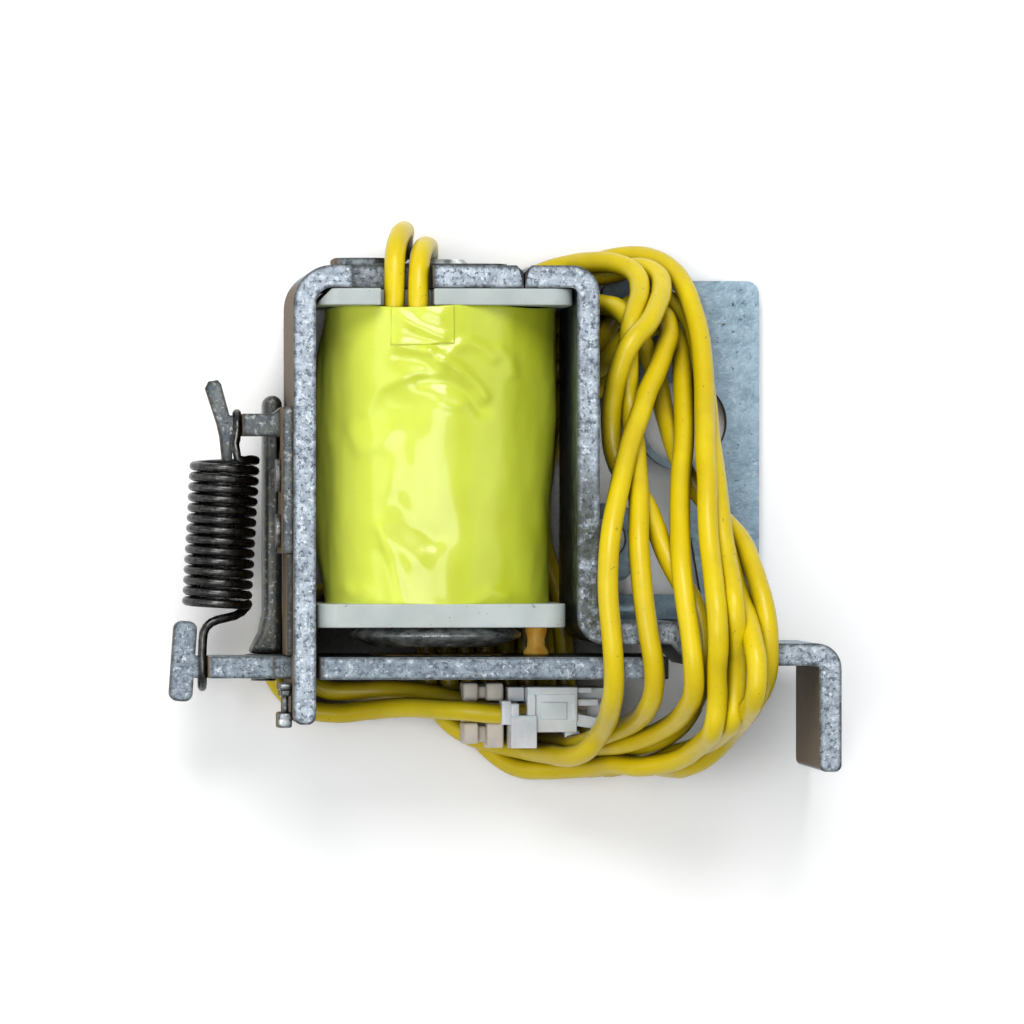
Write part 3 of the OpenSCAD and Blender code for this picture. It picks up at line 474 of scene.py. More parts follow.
# Painted shade and painted light: faces turning away on the right are painted darker, and faces turned to
# the left are painted brighter
edge_on = put(tree, "LayerWeight", Blend=0.35).outputs["Facing"]
faces = put(tree, "SeparateXYZ", Vector=put(tree, "NewGeometry").outputs["Normal"]).outputs
shaded_side = put(tree, "MapRange", Value=faces["X"], From_Min=-0.3, From_Max=0.3).outputs[0]
turned_away = reckon(tree, "MULTIPLY", reckon(tree, "POWER", edge_on, 3.0), shaded_side)
film_tone = lay_over(tree, turned_away, film_tone, rgb(0.34, 0.32, 0.003))
lit_side = put(tree, "MapRange", Value=faces["X"], From_Min=-0.15, From_Max=-0.8).outputs[0]
film_tone = lay_over(tree, lit_side, film_tone, rgb(0.98, 0.98, 0.11))
film_tone = lay_over(tree, reckon(tree, "MULTIPLY", marks["Specks"], 0.7), film_tone, rgb(0.1, 0.09, 0.01))
tree.links.new(film_tone, sockets["Base Color"])
film_ripple = put(tree, "TexNoise", Vector=place_in(tree), Scale=700.0, Detail=3.0).outputs[0]
raise_grain(tree, sockets, film_ripple, 0.18, 0.00006)

tape = wrapped_sheet("coil_tape_wrap", 0, math.tau, tape_top, tape_bottom, tape_r, around=200, rows=120)
tape.data.materials.append(polyester)
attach(tape, "frame")
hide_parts("coil_tape")
patch = wrapped_sheet("coil_tape_patch", -0.46, 0.1, 8.1, 5.4, tape_r + 0.11, around=44, rows=24,
                      thickness=0.08)
patch.data.materials.append(polyester)
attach(patch, "frame")
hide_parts("tape_patch")


# ---- Lead splices ----
# The soldered joints between winding and leads, each in a dark shrunk sleeve that
# lies under the tape at the top of the coil.

splice_sleeve = moulded_finish("splice_sleeve", rgb(0.1, 0.1, 0.1), rgb(0.03, 0.03, 0.03), 0.4, 0.0)
finish_cad("lead_splices", splice_sleeve, 0.00005)


# ---- Leads ----
# Two stranded hook-up wires, 1.5 mm over a glossy yellow PVC jacket. Each comes
# from its splice on the coil, crosses the top of the yoke, and is gathered into a
# hank of four turns round the bracket before it runs to the connector.

lead_pvc, tree, sockets = new_finish("lead_pvc", Roughness=0.36, Specular_IOR_Level=0.35,
                                     Coat_Weight=0.06, Coat_Roughness=0.18,
                                     Subsurface_Weight=0.08, Subsurface_Scale=0.0006)
marks = place_effect(tree, grime, Speck_size=0.00045, Specks=0.35)
jacket = put(tree, "TexNoise", Vector=place_in(tree), Scale=160.0, Detail=2.0)
jacket_tone = steps_of_colour(tree, jacket.outputs[0], (0.3, rgb(0.64, 0.475, 0.001)),
                              (0.7, rgb(0.75, 0.585, 0.003)))
smeared = lay_over(tree, reckon(tree, "MULTIPLY", marks["Smears"], 0.3), jacket_tone, rgb(0.34, 0.24, 0.02))
speckled = lay_over(tree, reckon(tree, "MULTIPLY", marks["Specks"], 0.6), smeared, rgb(0.12, 0.09, 0.02))
# Painted shade: where the wires close each other in, within 6 mm, the jacket is painted nearly black
closed_in = put(tree, "AmbientOcclusion", Distance=0.006, samples=6).outputs["AO"]
wire_shade = put(tree, "MapRange", Value=closed_in, From_Min=0.42, From_Max=0.08, To_Max=0.92).outputs[0]
tree.links.new(lay_over(tree, wire_shade, speckled, rgb(0.05, 0.03, 0.002)), sockets["Base Color"])
drawn = put(tree, "TexNoise", Vector=place_in(tree), Scale=1400.0, Detail=2.0)
raise_grain(tree, sockets, drawn.outputs[0], 0.12, 0.00003)

# The way that each wire takes, in millimetres, from its splice to its contact
lead_a = [(-22.3, 3.2, 16.2), (-22.3, 5.4, 16.2), (-22.3, 7.6, 16.2), (-22.3, 9.8, 16.3),
    (-22.2, 11.9, 15.6), (-21.8, 13.2, 13.9), (-21.4, 13.6, 11.8), (-21.2, 13.7, 9.6),
    (-21.1, 13.7, 7.4), (-21, 13.5, 5.2), (-20.9, 13.1, 3.1), (-20.8, 12, 1.2), (-20.7, 9.8, 0.8),
    (-20.3, 7.7, 0.8), (-19.1, 5.9, 0.8), (-17.4, 4.4, 0.8), (-15.4, 4, 0.8), (-14.3, 5.8, 0.8),
    (-13.9, 8, 0.9), (-12.6, 9.7, 1.1), (-10.7, 10.9, 1.2), (-8.8, 11.5, 1.7), (-7.2, 11.7, 3.3),
    (-5.5, 11.6, 4.6), (-4.1, 10.8, 6.1), (-3.9, 9.4, 7.7), (-4.4, 7.9, 9.3), (-4.9, 6.1, 10.3),
    (-5, 3.9, 10.5), (-4.9, 1.7, 10.3), (-4.8, -0.2, 11.2), (-4.7, -1.8, 12.8), (-4.7, -3.4, 14.3),
    (-4.7, -5.1, 15.7), (-4.8, -6.9, 16.9), (-4.9, -8.9, 17.9), (-4.8, -11, 18.5), (-4.6, -13.2, 18.9),
    (-4.3, -15.3, 19), (-3.9, -17.5, 18.7), (-3.8, -19.4, 17.6), (-4.1, -20.7, 15.9),
    (-4.4, -21.4, 13.8), (-5.2, -22.1, 11.9), (-6.6, -22.7, 10.4), (-8, -23.4, 8.8), (-9, -23.6, 6.9),
    (-10, -23.5, 4.9), (-11.2, -23.2, 3.1), (-12.6, -21.9, 2.2), (-13.9, -20.1, 1.7), (-14.5, -18.1, 1),
    (-14.7, -16, 0.8), (-14.8, -13.8, 0.8), (-14.7, -11.6, 0.8), (-14.3, -9.4, 0.8), (-14, -7.2, 0.8),
    (-13.6, -5, 0.8), (-13.3, -2.9, 0.8), (-12.9, -0.7, 0.8), (-12.5, 1.5, 0.8), (-11.8, 3.6, 0.8),
    (-11.4, 5.7, 0.8), (-10.5, 7.7, 0.8), (-9, 9.2, 1), (-7.3, 10.5, 1.7), (-5.5, 10.9, 2.9),
    (-3.7, 11.3, 4), (-2.4, 10.7, 5.6), (-2.3, 9.5, 7.5), (-2.8, 8.3, 9.2), (-3.6, 7, 10.8),
    (-4.9, 5.6, 11.9), (-5.8, 3.6, 11.9), (-6.2, 1.5, 11.4), (-6.3, -0.7, 11.5), (-6.1, -2.7, 12.3),
    (-5.3, -4.4, 13.4), (-4.2, -5.9, 14.5), (-3.5, -7.7, 15.7), (-2.9, -9.5, 16.7), (-2, -11.4, 17.6),
    (-1, -13.1, 18.4), (-0.4, -15.2, 18.9), (-0.4, -17.3, 18.8), (-0.5, -19.1, 17.5),
    (-0.7, -20.3, 15.6), (-0.9, -21.2, 13.7), (-1.5, -22.2, 11.8), (-2.8, -23.2, 10.4),
    (-4.2, -23.7, 8.8), (-5.4, -23.9, 7), (-6.6, -24, 5.1), (-7.7, -23.7, 3.2), (-8.8, -22.9, 1.5),
    (-10.4, -21.7, 0.8), (-11.4, -19.7, 0.8), (-11.7, -17.5, 0.8), (-11.8, -15.3, 0.8),
    (-12, -13.1, 0.8), (-12.2, -10.9, 0.8), (-12.2, -8.7, 0.8), (-12.1, -6.5, 0.8), (-11.9, -4.3, 0.8),
    (-11.7, -2.1, 0.8), (-11.3, 0, 0.8), (-10.7, 2.1, 0.8), (-9.4, 3.9, 0.8), (-7.6, 4.9, 1.3),
    (-6.3, 5.7, 2.9), (-5.4, 7.4, 3.8), (-3.7, 8.8, 3.7), (-1.6, 9, 4.1), (-0.2, 7.8, 5.2),
    (0.4, 6.1, 6.5), (0.6, 4.4, 7.9), (0.7, 2.6, 9.2), (0.8, 0.8, 10.5), (0.8, -0.9, 11.8),
    (0.9, -2.6, 13.2), (1, -4.3, 14.6), (1.1, -6.1, 15.8), (1.2, -8, 17), (1.4, -9.9, 18.1),
    (1.6, -11.6, 19.5), (1.7, -13.5, 20.7), (1.9, -15.5, 20.2), (2, -17.3, 19), (2, -19.4, 18.4),
    (1.8, -21.5, 18.1), (1.4, -22.3, 16.1), (1, -22.9, 14.1), (0.2, -23.5, 12.1), (-1.3, -24.1, 10.6),
    (-2.6, -24.3, 8.8), (-3.7, -24.4, 6.9), (-4.6, -24.3, 4.9), (-5.6, -24.3, 2.9), (-7.5, -24.8, 2.5),
    (-9.6, -25.1, 2.5), (-11.5, -24.5, 1.4), (-13.1, -23.2, 0.9), (-14.5, -21.5, 0.8),
    (-15.6, -19.6, 0.8), (-16.1, -17.4, 0.8), (-16.3, -15.2, 0.8), (-16.3, -13, 0.8),
    (-16.1, -10.9, 0.8), (-15.8, -8.7, 0.8), (-15.5, -6.5, 0.8), (-15.1, -4.3, 0.8), (-14.7, -2.2, 0.8),
    (-14.3, 0, 0.9), (-13.9, 2.2, 1), (-13.1, 4.2, 1.1), (-12.7, 6.4, 1.1), (-11.9, 8.4, 0.9),
    (-10.2, 9.8, 0.8), (-8.5, 11.2, 0.8), (-6.4, 11.8, 0.8), (-4.3, 12.2, 1.5), (-2.6, 12, 2.8),
    (-1.2, 11.1, 4.2), (-0.4, 9.7, 5.7), (0.1, 8, 7), (0.4, 6.3, 8.4), (0.5, 4.5, 9.7), (0.5, 2.7, 10.9),
    (0.4, 0.9, 12.2), (0.3, -0.8, 13.6), (0.2, -2.6, 14.9), (0.2, -4.4, 16.2), (0.1, -6.3, 17.3),
    (0.1, -8.3, 18.2), (0.2, -10.2, 19.2), (0.3, -12.1, 20.5), (0.4, -14.1, 21.4), (0.5, -16.2, 21.1),
    (0.5, -18.1, 20), (0.6, -20.2, 19.2), (0.4, -22.1, 18.5), (0.1, -22.9, 16.5), (-0.4, -23.6, 14.4),
    (-1.3, -24.4, 12.6), (-2.7, -24.9, 11), (-4.3, -25.1, 9.6), (-5.9, -24.9, 8.1), (-7.2, -25.2, 6.4),
    (-8.9, -25.4, 4.9), (-10.6, -25.5, 3.6), (-12.3, -25.4, 2.3), (-13.9, -24.5, 1.1),
    (-15.4, -22.9, 0.8), (-16.6, -21.1, 0.8), (-17.4, -19, 0.9), (-17.6, -16.9, 1.1),
    (-17.8, -14.7, 1.1), (-18.4, -12.6, 0.9), (-20.5, -11.9, 0.8), (-22.7, -12.1, 0.8),
    (-24.9, -12.3, 0.8), (-27, -12.7, 0.8), (-28.9, -13.7, 0.8), (-30.1, -15.6, 0.8),
    (-30.5, -17.7, 0.8), (-29.6, -19.7, 0.8), (-27.9, -21, 0.9), (-25.7, -21.4, 1.3),
    (-23.7, -21.2, 2.2), (-21.9, -21, 3.4), (-20.2, -20.9, 4.8), (-18.5, -21, 6.1), (-16.6, -21.1, 7.2),
    (-14.4, -21.3, 7.4), (-12.2, -21.3, 7.4)]

lead_b = [(-20.6, 3.2, 16.8), (-20.5, 5.4, 16.8), (-20.6, 7.6, 16.8), (-20.6, 9.8, 16.6),
    (-20.4, 11.6, 15.5), (-20, 12.4, 13.5), (-19.6, 12.5, 11.3), (-19.5, 12.5, 9.1), (-19.4, 12.5, 6.9),
    (-19.2, 12.6, 4.7), (-19, 12.5, 2.5), (-18.9, 11.2, 0.9), (-18.6, 9, 0.8), (-17.2, 7.4, 0.8),
    (-15.6, 6.1, 1.4), (-13.8, 6, 2.5), (-11.7, 6.3, 2.4), (-9.8, 7, 1.5), (-8, 8.1, 1),
    (-6.8, 8.6, 2.7), (-6.1, 8.5, 4.7), (-5.3, 8.1, 6.8), (-4.3, 6.7, 8), (-3.3, 4.9, 7.6),
    (-2.5, 2.9, 7), (-2.2, 1, 8), (-1.9, -0.6, 9.5), (-1.5, -2.3, 10.8), (-0.7, -4.2, 11.7),
    (0.5, -5.9, 12.3), (1.8, -7.4, 13.3), (2.8, -8.7, 14.7), (3.3, -10.2, 16.3), (3.7, -11.8, 17.7),
    (4.1, -13.7, 18.7), (4.3, -15.9, 19.1), (4.3, -18, 18.4), (4.1, -19.3, 16.7), (3.8, -20.2, 14.7),
    (3.6, -21, 12.7), (3.1, -21.9, 10.7), (2.3, -23, 9), (1, -24, 7.5), (-1, -24.7, 7.4),
    (-2.6, -24.9, 5.9), (-3.8, -25, 4.1), (-5.7, -25.2, 3.6), (-7.5, -25.4, 2.6), (-9.1, -25, 1.2),
    (-10.7, -23.5, 0.8), (-12.1, -21.8, 0.8), (-12.9, -19.8, 0.8), (-13.1, -17.6, 0.8),
    (-13.3, -15.4, 1), (-13.4, -13.2, 1.2), (-13.2, -11.1, 1.9), (-12.7, -9, 2.3), (-12.4, -6.8, 2.3),
    (-12.1, -4.6, 2.3), (-11.9, -2.4, 2.3), (-11.5, -0.2, 2.3), (-11.1, 1.9, 2.2), (-10.5, 4, 1.9),
    (-9.2, 5.6, 1.1), (-7.4, 6.6, 1.4), (-5.5, 7.3, 2.3), (-3.4, 8, 2.4), (-1.3, 7.9, 2.5),
    (0, 6.4, 3.4), (0.4, 4.8, 4.9), (0.6, 3.3, 6.4), (0.7, 1.7, 7.9), (0.8, -0.1, 9.3),
    (0.8, -1.8, 10.6), (1, -3.6, 12), (1.1, -5.3, 13.4), (1.2, -7.1, 14.7), (1.5, -9, 15.7),
    (2, -11, 16.5), (2.5, -12.9, 17.6), (2.8, -14.3, 19.2), (3, -15.8, 20.8), (3.2, -17.7, 21.8),
    (3.1, -19.8, 21.4), (2.9, -20.7, 19.4), (2.8, -21.2, 17.3), (2.7, -21.7, 15.1), (2.5, -22.2, 13),
    (2, -23.1, 11.1), (0.6, -24.5, 10.2), (-0.8, -25.2, 8.9), (-1.4, -25.3, 6.8), (-1.9, -25.3, 4.7),
    (-2.6, -25.2, 2.6), (-4, -25.2, 1), (-6.2, -25.3, 0.8), (-7.4, -23.7, 0.8), (-8.1, -21.7, 0.8),
    (-8.7, -19.6, 0.8), (-8.8, -17.4, 0.8), (-9, -15.2, 0.8), (-9.2, -13, 0.8), (-9.9, -10.9, 0.8),
    (-10.5, -8.8, 0.9), (-10.6, -6.5, 0.9), (-10.5, -4.3, 0.9), (-9.9, -2.2, 0.8), (-8.7, -0.3, 0.8),
    (-7.5, 1.5, 1), (-6, 3, 1.6), (-5, 4.8, 2.3), (-3.6, 6.4, 3), (-1.8, 7.1, 3.9), (-0.8, 5.9, 5.2),
    (-0.7, 4.3, 6.8), (-0.8, 2.8, 8.4), (-0.9, 1.2, 9.9), (-1, -0.4, 11.4), (-1.2, -2.1, 12.8),
    (-1.5, -3.8, 14.1), (-1.7, -5.7, 15.4), (-1.8, -7.5, 16.6), (-1.9, -9.2, 17.9), (-1.9, -11.1, 19.1),
    (-1.7, -13.2, 19.8), (-1.4, -15.4, 20.2), (-1.2, -17.5, 20.2), (-1.1, -19.5, 19.2),
    (-1.4, -20.7, 17.4), (-1.8, -21.5, 15.4), (-2.5, -22.2, 13.4), (-3.7, -22.9, 11.7),
    (-5.2, -23.4, 10.1), (-6.5, -23.6, 8.3), (-7.6, -23.7, 6.4), (-8.6, -23.7, 4.5), (-9.6, -23, 2.7),
    (-10.1, -21, 2), (-10.2, -18.9, 1.3), (-10.3, -16.7, 1.1), (-10.5, -14.5, 1.1), (-10.8, -12.3, 1.4),
    (-11.1, -10.3, 2.1), (-11.1, -8.1, 2.4), (-10.8, -5.9, 2.5), (-10.5, -3.7, 2.5), (-10.3, -1.6, 2.1),
    (-9.8, 0.5, 1.3), (-8.8, 2.4, 1), (-7.3, 3.5, 1.9), (-6.2, 4.2, 3.8), (-5.4, 5.2, 5.5),
    (-4.2, 6.8, 6.3), (-2.4, 7.9, 5.9), (-1.7, 6.6, 7.1), (-2.2, 5.1, 8.6), (-2.9, 3.5, 10),
    (-3.7, 2, 11.4), (-4.3, 0.5, 12.9), (-5, -1.1, 14.3), (-5.6, -2.8, 15.5), (-6.1, -4.6, 16.6),
    (-6.6, -6.5, 17.7), (-7, -8.5, 18.6), (-7.2, -10.6, 19.1), (-7.2, -12.8, 19.2), (-7, -15, 19.2),
    (-6.8, -17.2, 18.9), (-6.7, -19.2, 18), (-6.8, -20.7, 16.4), (-6.9, -21.7, 14.4),
    (-7.2, -22.6, 12.5), (-8.1, -23.9, 11), (-9.3, -24.4, 9.2), (-10.3, -24.3, 7.2), (-11.2, -24.2, 5.2),
    (-12.3, -24, 3.3), (-14.1, -23.6, 2.3), (-16.2, -22.9, 2.1), (-17.8, -21.6, 1.4),
    (-18.8, -19.7, 0.9), (-19, -17.5, 0.8), (-19.2, -15.3, 0.8), (-20.8, -14.1, 0.8), (-23, -13.9, 0.8),
    (-25.2, -13.9, 0.8), (-27.3, -14.6, 0.8), (-28.7, -16.3, 0.8), (-28.4, -18.4, 0.8),
    (-26.7, -19.6, 0.8), (-24.5, -19.8, 1), (-22.3, -19.7, 1.4), (-20.3, -19.8, 2.3),
    (-18.4, -20.1, 3.3), (-16.4, -20.6, 4.2), (-14.4, -21.2, 4.8), (-12.2, -21.3, 4.8)]


def laid_wire(name, route, thickness):
    data = bpy.data.curves.new(name, "CURVE")
    data.dimensions = "3D"
    data.bevel_depth = thickness / 2
    data.bevel_resolution = 5
    data.resolution_u = 5
    data.use_fill_caps = True
    spline = data.splines.new("BEZIER")
    spline.bezier_points.add(len(route) - 1)
    for knot, point in zip(spline.bezier_points, route):
        knot.co = mm(*point)
        knot.handle_left_type = knot.handle_right_type = "AUTO"
    wire = bpy.data.objects.new(name, data)
    bpy.context.scene.collection.objects.link(wire)
    return wire


lead_d = 0.0015
wire_a = laid_wire("lead_wire_a", lead_a, lead_d)
wire_b = laid_wire("lead_wire_b", lead_b, lead_d)
for wire in (wire_a, wire_b):
    wire.data.materials.append(lead_pvc)
    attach(wire, "frame")
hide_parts("lead_a", "tail_a", "bundle_back", "bundle_front")
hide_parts("lead_b", "tail_b", "bundle_back", "bundle_front")


# ---- Armature and shim ----
# The hinged clapper: a plated steel plate that rocks in the slot of the yoke's
# hinge leg, with a thin brass shim that keeps it from sticking to the pole.

armature_zinc = zinc_finish("armature_zinc", bright=rgb(0.36, 0.45, 0.5), dull=rgb(0.13, 0.17, 0.19),
                            sheared=rgb(0.22, 0.265, 0.3), pits=0.8, drag_lines=0.9)
finish_cad("armature", armature_zinc, 0.00016)

shim_brass, tree, sockets = new_finish("shim_brass", Metallic=1.0)
rolled = put(tree, "TexNoise", Vector=place_in(tree, (1, 1, 0.1)), Scale=2400.0, Detail=3.0).outputs[0]
tree.links.new(steps_of_colour(tree, rolled, (0.35, rgb(0.36, 0.24, 0.09)), (0.65, rgb(0.62, 0.46, 0.2))),
               sockets["Base Color"])
rolled_sheen = put(tree, "MapRange", Value=rolled, To_Min=0.25, To_Max=0.5).outputs[0]
tree.links.new(rolled_sheen, sockets["Roughness"])
finish_cad("residual_shim", shim_brass, 0)


# ---- Lever and rivets ----
# A gunmetal steel lever stands on the armature's tail, riveted through it. The two
# rivets of the spring anchor are the same plated steel.

lever_steel = zinc_finish("lever_steel", bright=rgb(0.2, 0.2, 0.18), dull=rgb(0.1, 0.1, 0.09),
                          sheared=rgb(0.13, 0.13, 0.11), pits=0.2, drag_lines=0.0, metallic=0.8,
                          hollows=0.4, reflection_amount=0)
finish_cad("armature_lever", lever_steel, 0.0005)
rivet_steel = zinc_finish("rivet_steel", bright=rgb(0.45, 0.48, 0.48), dull=rgb(0.16, 0.17, 0.17),
                          sheared=rgb(0.45, 0.48, 0.48), pits=0.6, drag_lines=0.4, metallic=0.9)
for name in ("lever_rivet", "anchor_rivets"):
    finish_cad(name, rivet_steel, 0.00008)


# ---- Hinge keeper ----
# A small dumbbell-shaped steel clip, pressed into the hinge leg's edge under the tail.
# It keeps the armature from dropping out of its slot.

# Each block: its two x, two y and two z, then how far its far end slants down and how much
# its top draws in
def joined_blocks(name, blocks, material, node, rounding):
    shape = bmesh.new()
    for block in blocks:
        (x0, x1), (y0, y1), (z0, z1) = block[:3]
        slant, draw = block[3:] if len(block) > 3 else (0, 0.06)
        corners = [(x0, y0), (x1, y0 - slant), (x1, y1 - slant), (x0, y1)]
        centre = ((x0 + x1) / 2, (y0 + y1 - slant) / 2)
        loops = [[shape.verts.new(mm(x, y, z0)) for x, y in corners]]
        shrink = [(x + (draw if x < centre[0] else -draw), y + (draw if y < centre[1] else -draw))
                  for x, y in corners]
        loops.append([shape.verts.new(mm(x, y, z1)) for x, y in shrink])
        shape.faces.new(loops[0])
        shape.faces.new(loops[1][::-1])
        for k in range(4):
            shape.faces.new((loops[0][k], loops[0][(k + 1) % 4], loops[1][(k + 1) % 4], loops[1][k]))
    bmesh.ops.recalc_face_normals(shape, faces=shape.faces)
    data = bpy.data.meshes.new(name)
    shape.to_mesh(data)
    shape.free()
    piece = bpy.data.objects.new(name, data)
    bpy.context.scene.collection.objects.link(piece)
    data.materials.append(material)
    edges = piece.modifiers.new("block_edges", "BEVEL")
    edges.width, edges.segments, edges.use_clamp_overlap = rounding / 1000, 3, True
    shading = piece.modifiers.new("even_shading", "WEIGHTED_NORMAL")
    shading.weight = 60
    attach(piece, "frame")
    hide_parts(node)


joined_blocks("keeper_clip", [
    ((-30.65, -29.55), (-18.85, -19.45), (13.5, 15.9)), ((-30.35, -29.8), (-19.3, -21.2), (13.9, 15.5)),
    ((-30.55, -29.6), (-19.3, -19.9), (13.6, 15.8)), ((-30.7, -29.55), (-20.95, -22.15), (13.5, 15.9))],
    rivet_steel, "hinge_keeper", 0.18)


# ---- Damper pad ----
# A waisted plug of amber rubber beside the pole shoe. The armature squeezes it as it
# closes, so it softens the blow.

# Painted glow: the rubber gives off faint light in its own colour, for light passing through it
amber_rubber, tree, sockets = new_finish("amber_rubber", Roughness=0.45, Emission_Strength=0.1,
                                         Subsurface_Weight=0.4, Subsurface_Scale=0.001)
gum = put(tree, "TexNoise", Vector=place_in(tree), Scale=900.0, Detail=3.0).outputs[0]
gum_tone = steps_of_colour(tree, gum, (0.35, rgb(0.8, 0.36, 0.03)), (0.65, rgb(1.0, 0.62, 0.12)))
tree.links.new(gum_tone, sockets["Base Color"])
tree.links.new(gum_tone, sockets["Emission Color"])
raise_grain(tree, sockets, gum, 0.3, 0.00008)
pad_low, pad_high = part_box("damper_pad")
pad_x, pad_z = (pad_low.x + pad_high.x) / 2, (pad_low.z + pad_high.z) / 2
pad_half = (pad_high.x - pad_low.x) / 2
# Share of the way down, and share of the half width there
profile = [(0.0, 0.7), (0.06, 0.86), (0.2, 0.82), (0.45, 0.68), (0.7, 0.74), (0.9, 1.0), (1.0, 1.0)]
facets = 24
pad_mesh = bmesh.new()
rings = []
for share, width in profile:
    ring = []
    y = pad_high.y + share * (pad_low.y - pad_high.y)
    for a in range(facets):
        angle = math.tau * a / facets
        lump = 0.06 * noise.noise((2 * math.cos(angle), 4 * share, 2 * math.sin(angle)))
        swell = pad_half * width * (1 + lump)
        ring.append(pad_mesh.verts.new((pad_x + swell * math.cos(angle), y,
                                        pad_z + swell * math.sin(angle))))
    rings.append(ring)
for upper, lower in zip(rings, rings[1:]):
    for a in range(facets):
        b = (a + 1) % facets
        pad_mesh.faces.new((upper[a], upper[b], lower[b], lower[a]))
pad_mesh.faces.new(rings[0][::-1])
pad_mesh.faces.new(rings[-1])
bmesh.ops.recalc_face_normals(pad_mesh, faces=pad_mesh.faces)
pad_data = bpy.data.meshes.new("damper_pad_gum")
pad_mesh.to_mesh(pad_data)
pad_mesh.free()
for face in pad_data.polygons:
    face.use_smooth = len(face.vertices) == 4
pad = bpy.data.objects.new("damper_pad_gum", pad_data)
bpy.context.scene.collection.objects.link(pad)
pad.data.materials.append(amber_rubber)
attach(pad, "frame")
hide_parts("damper_pad")
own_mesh(pad)


# ---- Spring anchor ----
# A plated strip riveted to the hinge leg. Its bent tab and bar hold the spring's
# upper hook.

anchor_steel = zinc_finish("anchor_steel", bright=rgb(0.13, 0.14, 0.13), dull=rgb(0.04, 0.043, 0.04),
                           sheared=rgb(0.12, 0.13, 0.125), pits=0.9, drag_lines=0.6, metallic=0.85,
                           bump=0.5)
finish_cad("spring_anchor", anchor_steel, 0.00009)


# ---- Return spring ----
# A close-wound steel tension spring, hooked over the anchor's tab above and round
# the armature's neck below.

spring_finish, tree, sockets = new_finish("spring_steel", Metallic=1.0, Roughness=0.26)
wire_draw = put(tree, "TexNoise", Vector=place_in(tree), Scale=2600.0, Detail=3.0).outputs[0]
wire_tone = steps_of_colour(tree, wire_draw, (0.3, rgb(0.03, 0.03, 0.029)),
                            (0.6, rgb(0.07, 0.07, 0.068)), (0.8, rgb(0.14, 0.14, 0.135)))
tree.links.new(wire_tone, sockets["Base Color"])
wire_sheen = put(tree, "MapRange", Value=wire_draw, To_Min=0.16, To_Max=0.42).outputs[0]
tree.links.new(wire_sheen, sockets["Roughness"])
raise_grain(tree, sockets, wire_draw, 0.2, 0.00002)


def hook(centre, reach, first, last):
    turn = [math.radians(first + (last - first) * i / 12) for i in range(13)]
    return [(centre[0], centre[1] + reach * math.sin(a), centre[2] + reach * math.cos(a)) for a in turn]


spring_wire_d, spring_r, spring_x, spring_lean, mid_z = 0.64, 2.225, -34.2, 0.6, 9.9
upper_hook, lower_hook = (-33.35, -0.75, mid_z), (-35.85, -17.8, mid_z)
upper_reach, lower_reach = 1.25, 1.477
first_turn = math.acos((upper_hook[0] - spring_x) / spring_r)
full_turns, pitch, coils_top = 14, 0.75, -2.775
whole = first_turn + math.tau * full_turns
steps = 172
helix = []
for i in range(steps + 1):
    share = i / steps
    angle = first_turn - whole * share
    helix.append((spring_x - spring_lean * share + spring_r * math.cos(angle),
                  coils_top - pitch * whole * share / math.tau, mid_z + spring_r * math.sin(angle)))
end_y, end_x = helix[-1][1], spring_x - spring_lean
crossing = [(end_x + 1.3, end_y - 0.7, mid_z + 0.8), (end_x, end_y - 1, mid_z + 1.3),
            (end_x - 0.8, end_y - 1.5, mid_z + lower_reach),
            (lower_hook[0], end_y - 2.4, mid_z + lower_reach)]
spring_curve = laid_wire("spring_wire", hook(upper_hook, upper_reach, 215, 0) + helix + crossing
                         + hook(lower_hook, lower_reach, 0, -200), spring_wire_d / 1000)
spring_curve.data.resolution_u = 2
bpy.context.view_layer.update()
coils = bpy.data.meshes.new_from_object(spring_curve.evaluated_get(bpy.context.evaluated_depsgraph_get()))
bpy.data.objects.remove(spring_curve)
spring = bpy.data.objects.new("return_spring_wire", coils)
bpy.context.scene.collection.objects.link(spring)
for face in coils.polygons:
    face.use_smooth = True
coils.materials.clear()
coils.materials.append(spring_finish)
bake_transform(spring)
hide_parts("return_spring")


# ---- Connector ----
# A two-way crimp housing moulded in white nylon, with tin-plated crimp contacts
# inside and a separate beige retainer that locks them from the lead side.

housing_nylon = moulded_finish("housing_nylon", rgb(0.88, 0.89, 0.9), rgb(0.74, 0.75, 0.77), 0.3, 0.3, 0.1)
joined_blocks("connector_shell", [
    ((-12.25, -8.5), (-19.35, -22.7), (3.3, 8.7)), ((-12.25, -8.5), (-19.3, -19.95), (8.4, 9.05)),
    ((-12.25, -11.55), (-19.6, -22.1), (8.4, 9.0)), ((-9.0, -8.5), (-19.6, -21.9), (8.4, 8.95)),
    ((-11.25, -9.25), (-20.4, -21.75), (8.5, 8.86)), ((-8.9, -6.0), (-19.4, -22.3), (3.3, 6.6)),
    ((-8.9, -6.9), (-20.2, -20.8), (6.3, 8.3)), ((-8.9, -6.0), (-21.2, -22.2), (6.0, 8.6), 0.5, 0.06),
    ((-8.9, -7.4), (-19.35, -19.85), (6.0, 8.5)), ((-13.45, -11.45), (-21.35, -23.85), (5.4, 9.1)),
    ((-13.45, -12.75), (-20.5, -21.6), (5.4, 9.1)), ((-14.1, -13.3), (-20.3, -22.15), (6.4, 8.7)),
    ((-13.5, -12.2), (-19.35, -20.5), (4.6, 6.6)), ((-9.4, -8.2), (-22.5, -23.25), (4.0, 7.4))],
    housing_nylon, "connector_housing", 0.07)
retainer_nylon = moulded_finish("retainer_nylon", rgb(0.78, 0.71, 0.62), rgb(0.6, 0.54, 0.47), 0.4,
                                0.25, 0.1)
